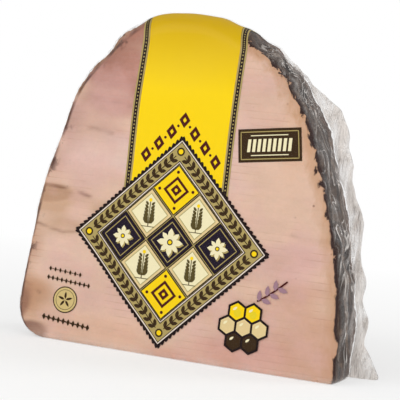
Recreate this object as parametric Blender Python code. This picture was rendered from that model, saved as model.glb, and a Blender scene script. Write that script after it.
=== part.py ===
"""A sliced quarter ham, sealed under clear film and standing on its crosswise cut.

The pack is one closed solid. It has the ham's form, with a leaning cut face at
the front (-Y) and a rounded rind at the back, and the bag's two loose side flaps,
which stand out from the rind as thin crumpled fins.

Every horizontal section is one closed loop of points. The loops are stacked from
the flat base to the crest, and bridged by faces.
"""
import math

import bpy
import numpy as np

# Driving sizes of the ham, in metres
HAM_HEIGHT = 0.1605
HALF_WIDTH = 0.0800
FRONT_DEPTH = 0.010
REAR_DEPTH = 0.060
FACE_LEAN = math.radians(3.6)
CREST_LEAN = math.radians(5.0)
CREST_ROLL = 0.0030
CREST_ROLL_START = 0.115
FACE_PILLOW = 0.0015
MIDDLE_LINE = (
    (0.000, 0.0044), (0.040, 0.0044), (0.060, 0.0034), (0.080, 0.0018), (0.100, 0.0012),
    (0.120, 0.0022), (0.136, 0.0026), (0.149, -0.0020), (0.160, -0.0048),
)

# Powers of the rounded form: across its width, up its height and towards its back
WIDTH_POWER = 2.4
HEIGHT_POWER = 1.9
DEPTH_POWER = 2.5

# Radii of its edges
EDGE_RADIUS = 0.0032
CREST_EDGE_RADIUS = 0.0090
CREST_EDGE_ENDS = (0.105, 0.150)
BASE_RADIUS = 0.0026
LEFT_CORNER_RADIUS = 0.0160
LEFT_SHOULDER, SHOULDER_START = 0.095, (0.095, 0.130)
SHOULDER_LOSS, SHOULDER_END = 0.4, (0.134, 0.150)
RIGHT_FULLNESS, FULLNESS_END = 0.055, (0.110, 0.135)

# Relief of the smoked crust, of the film's creases and of the cut face
CRUST_HEIGHT = 0.0007
CRUST_SIZE = 0.0150
CREASE_HEIGHT = 0.0009
CREASE_SPACING = 0.0180
CREASE_LENGTH = 0.0700
CREASE_BIAS = 0.6
CREASE_SOFTNESS = 0.25
FACE_WAVE_HEIGHT = 0.0004
FACE_WAVE_SIZE = 0.0450
SLICE_SHIFT = 0.0006
SHIFTED_SLICES = (0.056, 0.074)
SHIFTED_SIDE = (0.20, 0.90)
SLICE_STEP = 0.004
RIND_START = (0.001, 0.006)
RELIEF_START = 0.012
RELIEF_END = 0.45

# The bag's side flaps: where they leave the rind, how thick, and how far they reach
FLAP_PLACE = 0.40
FLAP_THICKNESS = 0.0012
FLAP_THINNING = 0.35
FLAP_END = 0.12
FLAP_SWAY = 0.0030
FLAP_SWAY_REACH = 0.008
FLAP_FOLDS = (0.030, 0.030, 0.026)
FLAP_OFFSET = 0.05
FLAP_OUTLINE = (
    (0.000, 0.0142), (0.006, 0.0108), (0.015, 0.0055), (0.024, 0.0046), (0.035, 0.0040),
    (0.050, 0.0055), (0.061, 0.0058), (0.072, 0.0055), (0.082, 0.0045), (0.092, 0.0070),
    (0.104, 0.0070), (0.114, 0.0092), (0.121, 0.0092), (0.126, 0.0066), (0.132, 0.0012),
    (0.170, 0.0008),
)

# Spacing of the loops and of the points along them
ROW_STEP = 0.0036
CORNER_ROWS = 8
CREST_ROWS = 4
CREST_STEP = 0.070
DIRECTIONS = 720
FRONT_POINTS = 40
BACK_POINTS = 38
FLAP_POINTS = 3
FACE_WEIGHT = 0.45
TURN_WEIGHT = 0.008
BISECTIONS = 40
SEED = 23


def clear_scene():
    """Remove whatever the open file holds."""
    for item in list(bpy.data.objects):
        bpy.data.objects.remove(item, do_unlink=True)


def smooth_step(low, high, value):
    """Rise from 0 at low to 1 at high, with soft ends."""
    share = np.clip((value - low) / (high - low), 0.0, 1.0)
    return share * share * (3.0 - 2.0 * share)


def ripple(points, sizes, seed, waves=14):
    """Smooth noise from -1 to 1: a sum of sine waves in random directions."""
    rng = np.random.default_rng(seed)
    directions = rng.normal(size=(waves, 3))
    directions /= np.linalg.norm(directions, axis=1)[:, None]
    turns = rng.uniform(0.7, 1.4, size=waves)
    phases = rng.uniform(0.0, math.tau, size=waves)
    scaled = points / np.asarray(sizes)
    angle = math.tau * (scaled @ directions.T) * turns + phases
    return np.sin(angle).sum(axis=-1) / math.sqrt(waves)


def round_max(first, second, radius):
    """The larger of two distances, with an edge of this radius where they meet."""
    corner = np.hypot(np.maximum(first + radius, 0.0), np.maximum(second + radius, 0.0))
    return np.minimum(np.maximum(first, second), -radius) + corner


def section_depth(z):
    """Share of the rear depth that is left at a height, 1 at the base and 0 at the crest."""
    rise = np.clip(z / HAM_HEIGHT, 0.0, 1.0) ** HEIGHT_POWER
    return (1.0 - rise) ** (1.0 / DEPTH_POWER)


def crest_fade(end, z):
    """Fall from 1 to 0 at the crest, from where this share of the depth is left."""
    return min(1.0, float(section_depth(z)) / end)


def widest_line(z):
    """How far behind the foot of the cut face the ham is widest."""
    return FRONT_DEPTH + z * math.tan(CREST_LEAN)


def face_line(x, z):
    """How far back the cut face lies: it leans, rolls back at the crest and is crowned."""
    roll = CREST_ROLL * smooth_step(CREST_ROLL_START, HAM_HEIGHT, z)
    crown = FACE_PILLOW * (x / HALF_WIDTH) ** 2
    return z * math.tan(FACE_LEAN) + roll + crown


def middle_line(z):
    """How far the form's middle stands to the right, less and less towards the crest."""
    heights, shifts = zip(*MIDDLE_LINE)
    return np.interp(z, heights, shifts)


def half_width(x, z):
    """Half the width: full below on the right and at the left shoulder, cut at the left corner."""
    below = np.clip(LEFT_CORNER_RADIUS - z, 0.0, LEFT_CORNER_RADIUS)
    cut = LEFT_CORNER_RADIUS - np.sqrt(LEFT_CORNER_RADIUS ** 2 - below ** 2)
    shoulder = LEFT_SHOULDER * smooth_step(*SHOULDER_START, z)
    shoulder = shoulder * (1.0 - SHOULDER_LOSS * smooth_step(*SHOULDER_END, z))
    fullness = RIGHT_FULLNESS * (1.0 - smooth_step(*FULLNESS_END, z))
    left, right = HALF_WIDTH * (1.0 + shoulder) - cut, HALF_WIDTH * (1.0 + fullness)
    return np.where(x < middle_line(z), left, right)


def rind_distance(x, y, z):
    """Distance outside the rounded form, from its value over its steepness."""
    across = np.abs(x - middle_line(z)) / half_width(x, z)
    up = np.maximum(z, 0.0) / HAM_HEIGHT
    behind = np.abs(y - widest_line(z)) / REAR_DEPTH
    value = across ** WIDTH_POWER + up ** HEIGHT_POWER + behind ** DEPTH_POWER - 1.0
    slope_x = WIDTH_POWER * across ** (WIDTH_POWER - 1.0) / HALF_WIDTH
    slope_y = DEPTH_POWER * behind ** (DEPTH_POWER - 1.0) / REAR_DEPTH
    slope_z = HEIGHT_POWER * up ** (HEIGHT_POWER - 1.0) / HAM_HEIGHT
    steepness = np.sqrt(slope_x ** 2 + slope_y ** 2 + slope_z ** 2)
    return value / np.maximum(steepness, 0.5)


def face_distance(x, y, z):
    """Distance in front of the cut face."""
    return (face_line(x, z) - y) * math.cos(FACE_LEAN)


def ham_distance(x, y, z):
    """Distance outside the ham, whose edge grows rounder towards the crest."""
    radius = EDGE_RADIUS + (CREST_EDGE_RADIUS - EDGE_RADIUS) * smooth_step(*CREST_EDGE_ENDS, z)
    return round_max(rind_distance(x, y, z), face_distance(x, y, z), radius)


def base_inset(z):
    """How far a section is drawn in where the ham's lower edge is rounded."""
    below = max(0.0, BASE_RADIUS - z)
    return BASE_RADIUS - math.sqrt(BASE_RADIUS ** 2 - below ** 2)


def section_centre(z):
    """A point well inside a section: at its widest line or behind it."""
    back = widest_line(z) + REAR_DEPTH * section_depth(z)
    halfway = 0.5 * float(face_line(0.0, z) + back)
    return float(middle_line(z)), max(halfway, widest_line(z))


def trace_section(directions, z):
    """Points of a section in these directions from its middle, found by halving."""
    centre_x, centre_y = section_centre(z)
    inset = base_inset(z)
    near = np.zeros_like(directions)
    far = np.full_like(directions, 2.0 * HALF_WIDTH)
    for _ in range(BISECTIONS):
        middle = 0.5 * (near + far)
        x = centre_x + middle * np.cos(directions)
        y = centre_y + middle * np.sin(directions)
        outside = ham_distance(x, y, z) > -inset
        far = np.where(outside, middle, far)
        near = np.where(outside, near, middle)
    reach = 0.5 * (near + far)
    x = centre_x + reach * np.cos(directions)
    y = centre_y + reach * np.sin(directions)
    return np.column_stack((x, y))


def spread_points(line, z, count):
    """Place points along a traced line, closer on the rind and where it turns."""
    steps = np.diff(line, axis=0)
    lengths = np.hypot(steps[:, 0], steps[:, 1])
    headings = np.unwrap(np.arctan2(steps[:, 1], steps[:, 0]))
    turns = np.abs(np.diff(headings, prepend=headings[0]))
    middles = 0.5 * (line[1:] + line[:-1])
    on_face = face_distance(middles[:, 0], middles[:, 1], z) > -EDGE_RADIUS
    weights = np.where(on_face, FACE_WEIGHT, 1.0)
    measure = np.concatenate(([0.0], np.cumsum(lengths * weights + turns * TURN_WEIGHT)))
    wanted = np.linspace(0.0, measure[-1], count)
    return np.column_stack([np.interp(wanted, measure, line[:, axis]) for axis in range(2)])


def outward_normals(line, z):
    """Unit normals in plan, from the slope of the distance."""
    small = 1e-5
    x, y = line[:, 0], line[:, 1]
    slope_x = ham_distance(x + small, y, z) - ham_distance(x - small, y, z)
    slope_y = ham_distance(x, y + small, z) - ham_distance(x, y - small, z)
    normals = np.column_stack((slope_x, slope_y))
    return normals / np.linalg.norm(normals, axis=1)[:, None]


def relief(line, z):
    """How far each point stands out: crags and creases on the rind, waves on the face."""
    x, y = line[:, 0], line[:, 1]
    points = np.column_stack((x, y, np.full(len(x), z)))
    rind = smooth_step(*RIND_START, -face_distance(x, y, z))
    crust = CRUST_HEIGHT * ripple(points, (CRUST_SIZE,) * 3, SEED)
    crease_sizes = (CREASE_SPACING, CREASE_SPACING, CREASE_LENGTH)
    ridges = np.hypot(ripple(points, crease_sizes, SEED + 1), CREASE_SOFTNESS)
    crease = CREASE_HEIGHT * (CREASE_BIAS - ridges)
    wave = FACE_WAVE_HEIGHT * ripple(points, (FACE_WAVE_SIZE,) * 3, SEED + 2)
    lowest, highest = SHIFTED_SLICES
    shifted = smooth_step(0.0, SLICE_STEP, z - lowest) * smooth_step(0.0, SLICE_STEP, highest - z)
    shift = SLICE_SHIFT * shifted * smooth_step(*SHIFTED_SIDE, -x / HALF_WIDTH)
    height = rind * (crust + crease + shift) + (1.0 - rind) * wave
    return height * smooth_step(0.0, RELIEF_START, z) * crest_fade(RELIEF_END, z)


def turn_left(vector):
    """The direction a quarter turn to the left, seen from above."""
    return np.array([-vector[1], vector[0]])


def flap_points(root, outward, seed, z):
    """The thin fin of a side flap: out along its first side, round its tip and back."""
    heights, reaches = zip(*FLAP_OUTLINE)
    fade = crest_fade(FLAP_END, z)
    reach = np.interp(z, heights, reaches) * fade
    steps = np.arange(1, FLAP_POINTS + 1) / (FLAP_POINTS + 1)
    shares = np.concatenate((steps, [1.0], steps[::-1]))
    sides = np.concatenate((np.full(FLAP_POINTS, -0.5), [0.0], np.full(FLAP_POINTS, 0.5)))
    spots = np.column_stack((FLAP_OFFSET + shares * reach, 0.0 * shares, np.full(len(shares), z)))
    sway = FLAP_SWAY * ripple(spots, FLAP_FOLDS, seed) * shares * min(1.0, reach / FLAP_SWAY_REACH)
    thick = FLAP_THICKNESS * fade * (1.0 - FLAP_THINNING * shares) * sides
    out = np.outer(shares * reach, outward)
    return root + out + np.outer(thick + sway, turn_left(outward))


def make_loop(z):
    """One closed section, counter-clockwise from above, starting at the left flap."""
    quarter = 0.5 * math.pi
    right = np.linspace(-quarter, quarter, DIRECTIONS)
    line = trace_section(right, z)
    root_y = widest_line(z) + REAR_DEPTH * section_depth(z) * FLAP_PLACE
    root = float(np.interp(root_y, line[:, 1], right))
    front = trace_section(np.linspace(-math.pi - root, root, DIRECTIONS), z)
    back = trace_section(np.linspace(root, math.pi - root, DIRECTIONS), z)
    front = spread_points(front, z, FRONT_POINTS)
    back = spread_points(back, z, BACK_POINTS)
    right_out = outward_normals(front, z)[-1]
    left_out = outward_normals(front, z)[0]
    front += outward_normals(front, z) * relief(front, z)[:, None]
    back += outward_normals(back, z) * relief(back, z)[:, None]

    half = 0.5 * FLAP_THICKNESS * crest_fade(FLAP_END, z)
    right_root, left_root = back[0].copy(), back[-1].copy()
    front[-1] = right_root - half * turn_left(right_out)
    back[0] = right_root + half * turn_left(right_out)
    back[-1] = left_root - half * turn_left(left_out)
    front[0] = left_root + half * turn_left(left_out)
    right_flap = flap_points(right_root, right_out, SEED + 3, z)
    left_flap = flap_points(left_root, left_out, SEED + 4, z)
    return np.vstack((front, right_flap, back, left_flap))


def row_heights():
    """Heights of the loops: close at the base, even up the ham, close at the crest."""
    turns = np.linspace(0.0, 0.5 * math.pi, CORNER_ROWS)
    corner = LEFT_CORNER_RADIUS * (1.0 - np.cos(turns))
    depths = CREST_STEP * np.arange(CREST_ROWS, 0, -1)
    crest = HAM_HEIGHT * (1.0 - depths ** DEPTH_POWER) ** (1.0 / HEIGHT_POWER)
    middle_count = round((crest[0] - corner[-1]) / ROW_STEP) + 1
    middle = np.linspace(corner[-1], crest[0], middle_count)
    return np.concatenate((corner, middle[1:], crest[1:]))


def crest_point():
    """The highest point, straight up from the middle of the last loop."""
    x, y = float(middle_line(HAM_HEIGHT)), float(widest_line(HAM_HEIGHT))
    low, high = 0.9 * HAM_HEIGHT, 1.1 * HAM_HEIGHT
    for _ in range(BISECTIONS):
        middle = 0.5 * (low + high)
        if ham_distance(x, y, middle) > 0.0:
            high = middle
        else:
            low = middle
    return (x, y, low)


def make_pack_mesh():
    """Stack the loops, bridge them and close both ends."""
    heights = row_heights()
    loops = [make_loop(float(z)) for z in heights]
    count = len(loops[0])
    points = [(x, y, z) for loop, z in zip(loops, heights) for x, y in loop]
    points.append(crest_point())
    points = np.array(points)
    lowest, highest = points.min(axis=0), points.max(axis=0)
    middle = 0.5 * (lowest + highest)
    points -= (middle[0], middle[1], lowest[2])

    faces = [tuple(reversed(range(count)))]
    for row in range(len(loops) - 1):
        for place in range(count):
            following = (place + 1) % count
            low, high = row * count, (row + 1) * count
            faces.append((low + place, low + following, high + following, high + place))
    top = (len(loops) - 1) * count
    apex = len(points) - 1
    faces.extend((top + place, top + (place + 1) % count, apex) for place in range(count))

    mesh = bpy.data.meshes.new("ham_pack")
    mesh.from_pydata(points.tolist(), [], faces)
    mesh.update()
    size = highest - lowest
    print(f"pack {size[0]:.4f} x {size[1]:.4f} x {size[2]:.4f} m, {len(mesh.polygons)} faces")
    return mesh


def packed_meat_material():
    """Rosy cooked ham seen through tight glossy film."""
    material = bpy.data.materials.new("packed_meat")
    material.use_nodes = True
    shader = material.node_tree.nodes["Principled BSDF"]
    shader.inputs["Base Color"].default_value = (0.62, 0.39, 0.31, 1.0)
    shader.inputs["Roughness"].default_value = 0.35
    shader.inputs["Metallic"].default_value = 0.0
    return material


def main():
    """Build the pack as one object."""
    clear_scene()
    mesh = make_pack_mesh()
    mesh.materials.append(packed_meat_material())
    mesh.shade_smooth()
    mesh.set_sharp_from_angle(angle=math.radians(40.0))
    pack = bpy.data.objects.new("ham_pack", mesh)
    bpy.context.scene.collection.objects.link(pack)


main()
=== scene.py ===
# %% [markdown]
# # A sliced quarter ham in clear printed film
#
# The real thing is a quarter of a cooked, smoked ham. It is cut lengthwise, which gives the
# flat pink face, sliced crosswise, and stood on its lower cut. A bag of clear film is drawn
# tight round it by vacuum. The bag carries a printed label, and its spare film stands out at
# the sides as soft crumpled flaps.
#
# The scene is made of three kinds of thing: the meat, the film round it, and thin sheets of ink
# between the two. All of them are worked out from one rounded form, so they fit each other.

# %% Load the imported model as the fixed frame
import math

import bpy
import numpy as np
from mathutils import Matrix, Vector


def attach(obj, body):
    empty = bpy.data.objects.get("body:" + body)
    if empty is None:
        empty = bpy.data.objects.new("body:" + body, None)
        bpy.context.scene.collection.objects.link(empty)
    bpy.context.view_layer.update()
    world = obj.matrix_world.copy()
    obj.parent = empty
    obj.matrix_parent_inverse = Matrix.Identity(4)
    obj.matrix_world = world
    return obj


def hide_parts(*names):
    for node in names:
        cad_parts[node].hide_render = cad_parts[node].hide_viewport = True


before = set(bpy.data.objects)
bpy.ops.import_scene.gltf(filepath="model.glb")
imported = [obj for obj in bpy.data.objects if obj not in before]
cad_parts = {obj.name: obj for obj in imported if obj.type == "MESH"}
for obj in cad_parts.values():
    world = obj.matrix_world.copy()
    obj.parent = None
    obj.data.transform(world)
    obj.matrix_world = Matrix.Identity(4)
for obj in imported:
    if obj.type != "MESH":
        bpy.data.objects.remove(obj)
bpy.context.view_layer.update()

# %% [markdown]
# ## Camera
#
# A packshot is taken with a long lens, so the pack keeps straight edges. The camera stands a
# little to the right of the cut face and barely above it, and it is turned a few degrees, which
# is why the pack seems to lean. The lens comes from the pack's size in the picture.

# %% Camera
PICTURE_SIZE = 400
PIXELS_PER_METRE = 2100.0
SENSOR = 36.0
CAMERA_TARGET = Vector((-0.0024, 0.0, 0.083))
CAMERA_DISTANCE = 0.90
CAMERA_AZIMUTH = math.radians(23.0)
CAMERA_ELEVATION = math.radians(3.5)
CAMERA_ROLL = math.radians(5.6)
TARGET_PIXEL = (215.5, 179.3)


def camera_axes(azimuth, elevation, roll):
    """Right, up and backward directions of a camera that looks at the pack and is then turned."""
    right = Vector((math.cos(azimuth), math.sin(azimuth), 0.0))
    away = Vector((
        -math.sin(azimuth) * math.cos(elevation),
        math.cos(azimuth) * math.cos(elevation),
        -math.sin(elevation),
    ))
    up = right.cross(away)
    turned_right = math.cos(roll) * right + math.sin(roll) * up
    turned_up = math.cos(roll) * up - math.sin(roll) * right
    return turned_right, turned_up, -away


camera_right, camera_up, camera_back = camera_axes(CAMERA_AZIMUTH, CAMERA_ELEVATION, CAMERA_ROLL)
camera_data = bpy.data.cameras.new("camera")
camera_data.sensor_width = SENSOR
camera_data.lens = SENSOR * CAMERA_DISTANCE * PIXELS_PER_METRE / PICTURE_SIZE
camera_data.shift_x = 0.5 - TARGET_PIXEL[0] / PICTURE_SIZE
camera_data.shift_y = TARGET_PIXEL[1] / PICTURE_SIZE - 0.5
camera = bpy.data.objects.new("camera", camera_data)
turn = Matrix((camera_right, camera_up, camera_back)).transposed().to_4x4()
camera.matrix_world = Matrix.Translation(CAMERA_TARGET + CAMERA_DISTANCE * camera_back) @ turn
bpy.context.scene.collection.objects.link(camera)
bpy.context.scene.camera = camera
print("lens", round(camera_data.lens, 1), "mm")

# %% [markdown]
# ## The rounded form
#
# A quarter ham has a flat face in front and swells behind it. Such a form could be sculpted, but
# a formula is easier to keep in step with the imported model: three powers of the place across,
# up and behind add up to one on the rind, and the leaning cut face slices the front away. Each
# function below takes whole arrays of places and gives whole arrays back.

# %% Sizes of the form, in metres
HAM_HEIGHT = 0.1605
HALF_WIDTH = 0.0800
FRONT_DEPTH = 0.010
REAR_DEPTH = 0.060
BACK_START = (0.08, 0.80)
FACE_LEAN = math.radians(3.6)
CREST_LEAN = math.radians(5.0)
CREST_ROLL = 0.0030
CREST_ROLL_START = 0.115
FACE_PILLOW = 0.0015
WIDTH_POWER = 2.4
HEIGHT_POWER = 1.9
DEPTH_POWER = 2.5
EDGE_RADIUS = 0.0032
CREST_EDGE_RADIUS = 0.0090
CREST_EDGE_ENDS = (0.105, 0.150)
BASE_RADIUS = 0.0026
LEFT_CORNER_RADIUS = 0.0160
LEFT_SHOULDER, SHOULDER_START = 0.095, (0.095, 0.130)
SHOULDER_LOSS, SHOULDER_END = 0.4, (0.134, 0.150)
RIGHT_FULLNESS, FULLNESS_END = 0.055, (0.110, 0.135)
MIDDLE_LINE = (
    (0.000, 0.0044), (0.040, 0.0044), (0.060, 0.0034), (0.080, 0.0018), (0.100, 0.0012),
    (0.120, 0.0022), (0.136, 0.0026), (0.149, -0.0020), (0.160, -0.0048),
)
FORM_SHIFT = np.array((-0.009827, -0.036459, 0.0))
DRAWING_ZERO = 0.0074
LEAST_STEEPNESS, LEAST_DEPTH = 0.5, 0.05


# %% The form's distances
def smooth_step(low, high, value):
    """Rise from 0 at low to 1 at high: three times the share squared less twice its cube."""
    share = np.clip((value - low) / (high - low), 0.0, 1.0)
    return share * share * (3.0 - 2.0 * share)


def middle_line(z):
    """How far the form's middle stands to the right at a height, between named places."""
    heights, shifts = zip(*MIDDLE_LINE)
    return np.interp(z, heights, shifts)


def section_depth(z):
    """Share of the rear depth left at a height: what its power leaves of one, to a root."""
    rise = np.clip(z / HAM_HEIGHT, 0.0, 1.0) ** HEIGHT_POWER
    return (1.0 - rise) ** (1.0 / DEPTH_POWER)


def widest_line(z):
    """Where the ham is widest, front to back: a line that leans back with height."""
    return FRONT_DEPTH + z * math.tan(CREST_LEAN)


def face_line(x, z):
    """Where the cut face lies: a lean, a soft roll at the crest and a slight crown."""
    roll = CREST_ROLL * smooth_step(CREST_ROLL_START, HAM_HEIGHT, z)
    return z * math.tan(FACE_LEAN) + roll + FACE_PILLOW * (x / HALF_WIDTH) ** 2


def half_width(x, z):
    """Half the width, with a share added to each side and a quarter circle's cut at lower left."""
    below = np.clip(LEFT_CORNER_RADIUS - z, 0.0, LEFT_CORNER_RADIUS)
    cut = LEFT_CORNER_RADIUS - np.sqrt(LEFT_CORNER_RADIUS ** 2 - below ** 2)
    shoulder = LEFT_SHOULDER * smooth_step(*SHOULDER_START, z)
    shoulder = shoulder * (1.0 - SHOULDER_LOSS * smooth_step(*SHOULDER_END, z))
    fullness = RIGHT_FULLNESS * (1.0 - smooth_step(*FULLNESS_END, z))
    left, right = HALF_WIDTH * (1.0 + shoulder) - cut, HALF_WIDTH * (1.0 + fullness)
    return np.where(x < middle_line(z), left, right)


def rind_distance(x, y, z):
    """Distance outside the rounded form: its value less one, over its steepness."""
    across = np.abs(x - middle_line(z)) / half_width(x, z)
    up = np.maximum(z, 0.0) / HAM_HEIGHT
    behind = np.abs(y - widest_line(z)) / REAR_DEPTH
    value = across ** WIDTH_POWER + up ** HEIGHT_POWER + behind ** DEPTH_POWER - 1.0
    slope_x = WIDTH_POWER * across ** (WIDTH_POWER - 1.0) / HALF_WIDTH
    slope_y = DEPTH_POWER * behind ** (DEPTH_POWER - 1.0) / REAR_DEPTH
    slope_z = HEIGHT_POWER * up ** (HEIGHT_POWER - 1.0) / HAM_HEIGHT
    steepness = np.sqrt(slope_x ** 2 + slope_y ** 2 + slope_z ** 2)
    return value / np.maximum(steepness, LEAST_STEEPNESS)


def face_distance(x, y, z):
    """Distance in front of the cut face."""
    return (face_line(x, z) - y) * math.cos(FACE_LEAN)


def ham_distance(x, y, z):
    """The larger of the two distances, with a round edge where they meet."""
    blend = smooth_step(*CREST_EDGE_ENDS, z)
    radius = EDGE_RADIUS + (CREST_EDGE_RADIUS - EDGE_RADIUS) * blend
    rind, face = rind_distance(x, y, z), face_distance(x, y, z)
    corner = np.hypot(np.maximum(rind + radius, 0.0), np.maximum(face + radius, 0.0))
    return np.minimum(np.maximum(rind, face), -radius) + corner


def outward(points, step=2e-5):
    """Unit normals: how fast the distance grows along each axis, made one long."""
    slopes = []
    for axis in range(3):
        offset = np.zeros(3)
        offset[axis] = step
        ahead, behind = points + offset, points - offset
        slopes.append(ham_distance(*np.moveaxis(ahead, -1, 0))
                      - ham_distance(*np.moveaxis(behind, -1, 0)))
    slopes = np.stack(slopes, axis=-1)
    return slopes / np.linalg.norm(slopes, axis=-1, keepdims=True)


# %% [markdown]
# ## Sections
#
# The ham is built like a lathe piece that isn't round: level sections stacked from the base to
# the crest. Each section starts as rays from its middle, halved until they meet the surface.
# Points are then spread along it, closer where it turns, so the same columns run up the face.

# %% Tracing and spreading
HALVINGS = 34
RAYS = 480
FLAP_PLACE = 0.40
TURN_WEIGHT = 0.008


def halved(is_near, near, far):
    """Where a test stops holding between two bounds: the way is halved again and again."""
    for _ in range(HALVINGS):
        middle = 0.5 * (near + far)
        holds = is_near(middle)
        near, far = np.where(holds, middle, near), np.where(holds, far, middle)
    return 0.5 * (near + far)


def base_inset(z):
    """How far a section is drawn in near the base: the cut of a quarter circle."""
    below = np.clip(BASE_RADIUS - z, 0.0, BASE_RADIUS)
    return BASE_RADIUS - np.sqrt(BASE_RADIUS ** 2 - below ** 2)


def trace(directions, heights):
    """Points of each section in its directions, one row for each height, by halving."""
    z = heights[:, None]
    back = widest_line(z) + REAR_DEPTH * section_depth(z)
    centre_x = middle_line(z)
    centre_y = np.maximum(0.5 * (face_line(0.0, z) + back), widest_line(z))
    across, behind = np.cos(directions), np.sin(directions)

    def inside(reach):
        return ham_distance(centre_x + reach * across, centre_y + reach * behind, z) <= -base_inset(z)

    reach = halved(inside, np.zeros_like(directions), np.full_like(directions, 2.0 * HALF_WIDTH))
    return centre_x + reach * across, centre_y + reach * behind


def spread_arc(start, end, heights, count):
    """Points on the arc between two directions, even in length plus a share for each turn."""
    shares = np.linspace(0.0, 1.0, RAYS)
    x, y = trace(start[:, None] + (end - start)[:, None] * shares, heights)
    steps_x, steps_y = np.diff(x, axis=1), np.diff(y, axis=1)
    headings = np.unwrap(np.arctan2(steps_y, steps_x), axis=1)
    turns = np.abs(np.diff(headings, axis=1, prepend=headings[:, :1]))
    steps = np.hypot(steps_x, steps_y) + TURN_WEIGHT * turns
    measure = np.pad(np.cumsum(steps, axis=1), ((0, 0), (1, 0)))
    wanted = np.linspace(0.0, 1.0, count)
    rows = [
        np.column_stack((np.interp(wanted * m[-1], m, u), np.interp(wanted * m[-1], m, v)))
        for m, u, v in zip(measure, x, y)
    ]
    z = np.broadcast_to(heights[:, None, None], (len(heights), count, 1))
    return np.concatenate((np.array(rows), z), axis=2)


def root_directions(heights):
    """The direction of the right flap's root in each section, where y meets its named share."""
    right = np.linspace(-0.5 * math.pi, 0.5 * math.pi, RAYS)
    _, y = trace(np.broadcast_to(right, (len(heights), RAYS)).copy(), heights)
    wanted = widest_line(heights) + REAR_DEPTH * section_depth(heights) * FLAP_PLACE
    return np.array([np.interp(place, row, right) for place, row in zip(wanted, y)])


def front_and_back(heights, front_count, back_count):
    """The two arcs of each section: along the face, and along the rind behind the flaps."""
    root = root_directions(heights)
    front = spread_arc(-math.pi - root, root, heights, front_count)
    back = spread_arc(root, math.pi - root, heights, back_count)
    return front, back


# %% [markdown]
# ## Relief
#
# Nothing about meat is smooth. The smoked rind has crags, and the film pulls them into long
# creases. Sums of sine waves in random directions give such relief the same way every time,
# because the draw of the directions has a fixed seed.

# %% Waves, crags and creases
SEED = 23
CRUST_HEIGHT, CRUST_SIZE = 0.0007, 0.0150
CREASE_HEIGHT, CREASE_BIAS, CREASE_SOFTNESS = 0.0009, 0.6, 0.25
CREASE_SIZES = (0.0180, 0.0180, 0.0700)
WAVE_HEIGHT, WAVE_SIZE = 0.0004, 0.0450
RIND_START = (0.001, 0.006)
RELIEF_START = 0.012
RELIEF_END = 0.45
SLICE_SHIFT = 0.0006
SHIFTED_SLICES = (0.056, 0.074)
SHIFTED_SIDE = (0.20, 0.90)
SLICE_STEP = 0.004


def ripple(points, sizes, seed, waves=14):
    """Smooth noise from about -1 to 1: a sum of sine waves in random directions."""
    rng = np.random.default_rng(seed)
    directions = rng.normal(size=(waves, 3))
    directions /= np.linalg.norm(directions, axis=1)[:, None]
    turns = rng.uniform(0.7, 1.4, size=waves)
    phases = rng.uniform(0.0, math.tau, size=waves)
    angle = math.tau * ((points / np.asarray(sizes)) @ directions.T) * turns + phases
    return np.sin(angle).sum(axis=-1) / math.sqrt(waves)


def rind_share(points):
    """0 on the cut face and 1 on the rind, rising over the first millimetres behind the face."""
    return smooth_step(*RIND_START, -face_distance(*np.moveaxis(points, -1, 0)))


def pack_relief(points):
    """How far the pack stands out of the form: crust plus crease on the rind, waves in front."""
    x, z = points[..., 0], points[..., 2]
    rind = rind_share(points)
    crust = CRUST_HEIGHT * ripple(points, (CRUST_SIZE,) * 3, SEED)
    ridges = np.hypot(ripple(points, CREASE_SIZES, SEED + 1), CREASE_SOFTNESS)
    crease = CREASE_HEIGHT * (CREASE_BIAS - ridges)
    wave = WAVE_HEIGHT * ripple(points, (WAVE_SIZE,) * 3, SEED + 2)
    lowest, highest = SHIFTED_SLICES
    shifted = smooth_step(0.0, SLICE_STEP, z - lowest) * smooth_step(0.0, SLICE_STEP, highest - z)
    shift = SLICE_SHIFT * shifted * smooth_step(*SHIFTED_SIDE, -x / HALF_WIDTH)
    height = rind * (crust + crease + shift) + (1.0 - rind) * wave
    fade = np.minimum(1.0, section_depth(z) / RELIEF_END)
    return height * smooth_step(0.0, RELIEF_START, z) * fade


# %% Helpers that turn arrays into pieces
def grid_faces(rows, columns, wrapped):
    """Quads between neighbouring rows and columns, with the last column joined to the first."""
    row, column = np.meshgrid(np.arange(rows - 1), np.arange(columns - (not wrapped)), indexing="ij")
    following = (column + 1) % columns
    corners = (row * columns + column, row * columns + following,
               (row + 1) * columns + following, (row + 1) * columns + column)
    return np.stack(corners, axis=-1).reshape(-1, 4)


def make_piece(name, points, faces, material):
    """A smooth mesh in the shared frame that rides on the one body."""
    mesh = bpy.data.meshes.new(name)
    mesh.from_pydata(points.tolist(), [], faces)
    mesh.materials.append(material)
    mesh.shade_smooth()
    piece = bpy.data.objects.new(name, mesh)
    bpy.context.scene.collection.objects.link(piece)
    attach(piece, "root")
    triangles = sum(len(face) - 2 for face in faces)
    print(f"{name}: {len(points)} points, {triangles} triangles")
    return piece


def add_values(piece, name, values):
    """Store one number, or one colour, for each point of a piece, for its material to read."""
    kind, key = ("FLOAT_COLOR", "color") if values.ndim == 2 else ("FLOAT", "value")
    attribute = piece.data.attributes.new(name, kind, "POINT")
    attribute.data.foreach_set(key, values.astype(np.float32).ravel())


def closed_stack(loops, base_centre, crest):
    """Points and faces of stacked loops, closed by a fan below and a fan above."""
    rows, columns = loops.shape[:2]
    points = np.vstack((loops.reshape(-1, 3), base_centre, crest))
    place = np.arange(columns)
    following = (place + 1) % columns
    lower_fan = np.column_stack((following, place, np.full(columns, rows * columns)))
    top = (rows - 1) * columns
    upper_fan = np.column_stack((top + place, top + following, np.full(columns, rows * columns + 1)))
    faces = grid_faces(rows, columns, True).tolist() + lower_fan.tolist() + upper_fan.tolist()
    return points, faces


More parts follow.
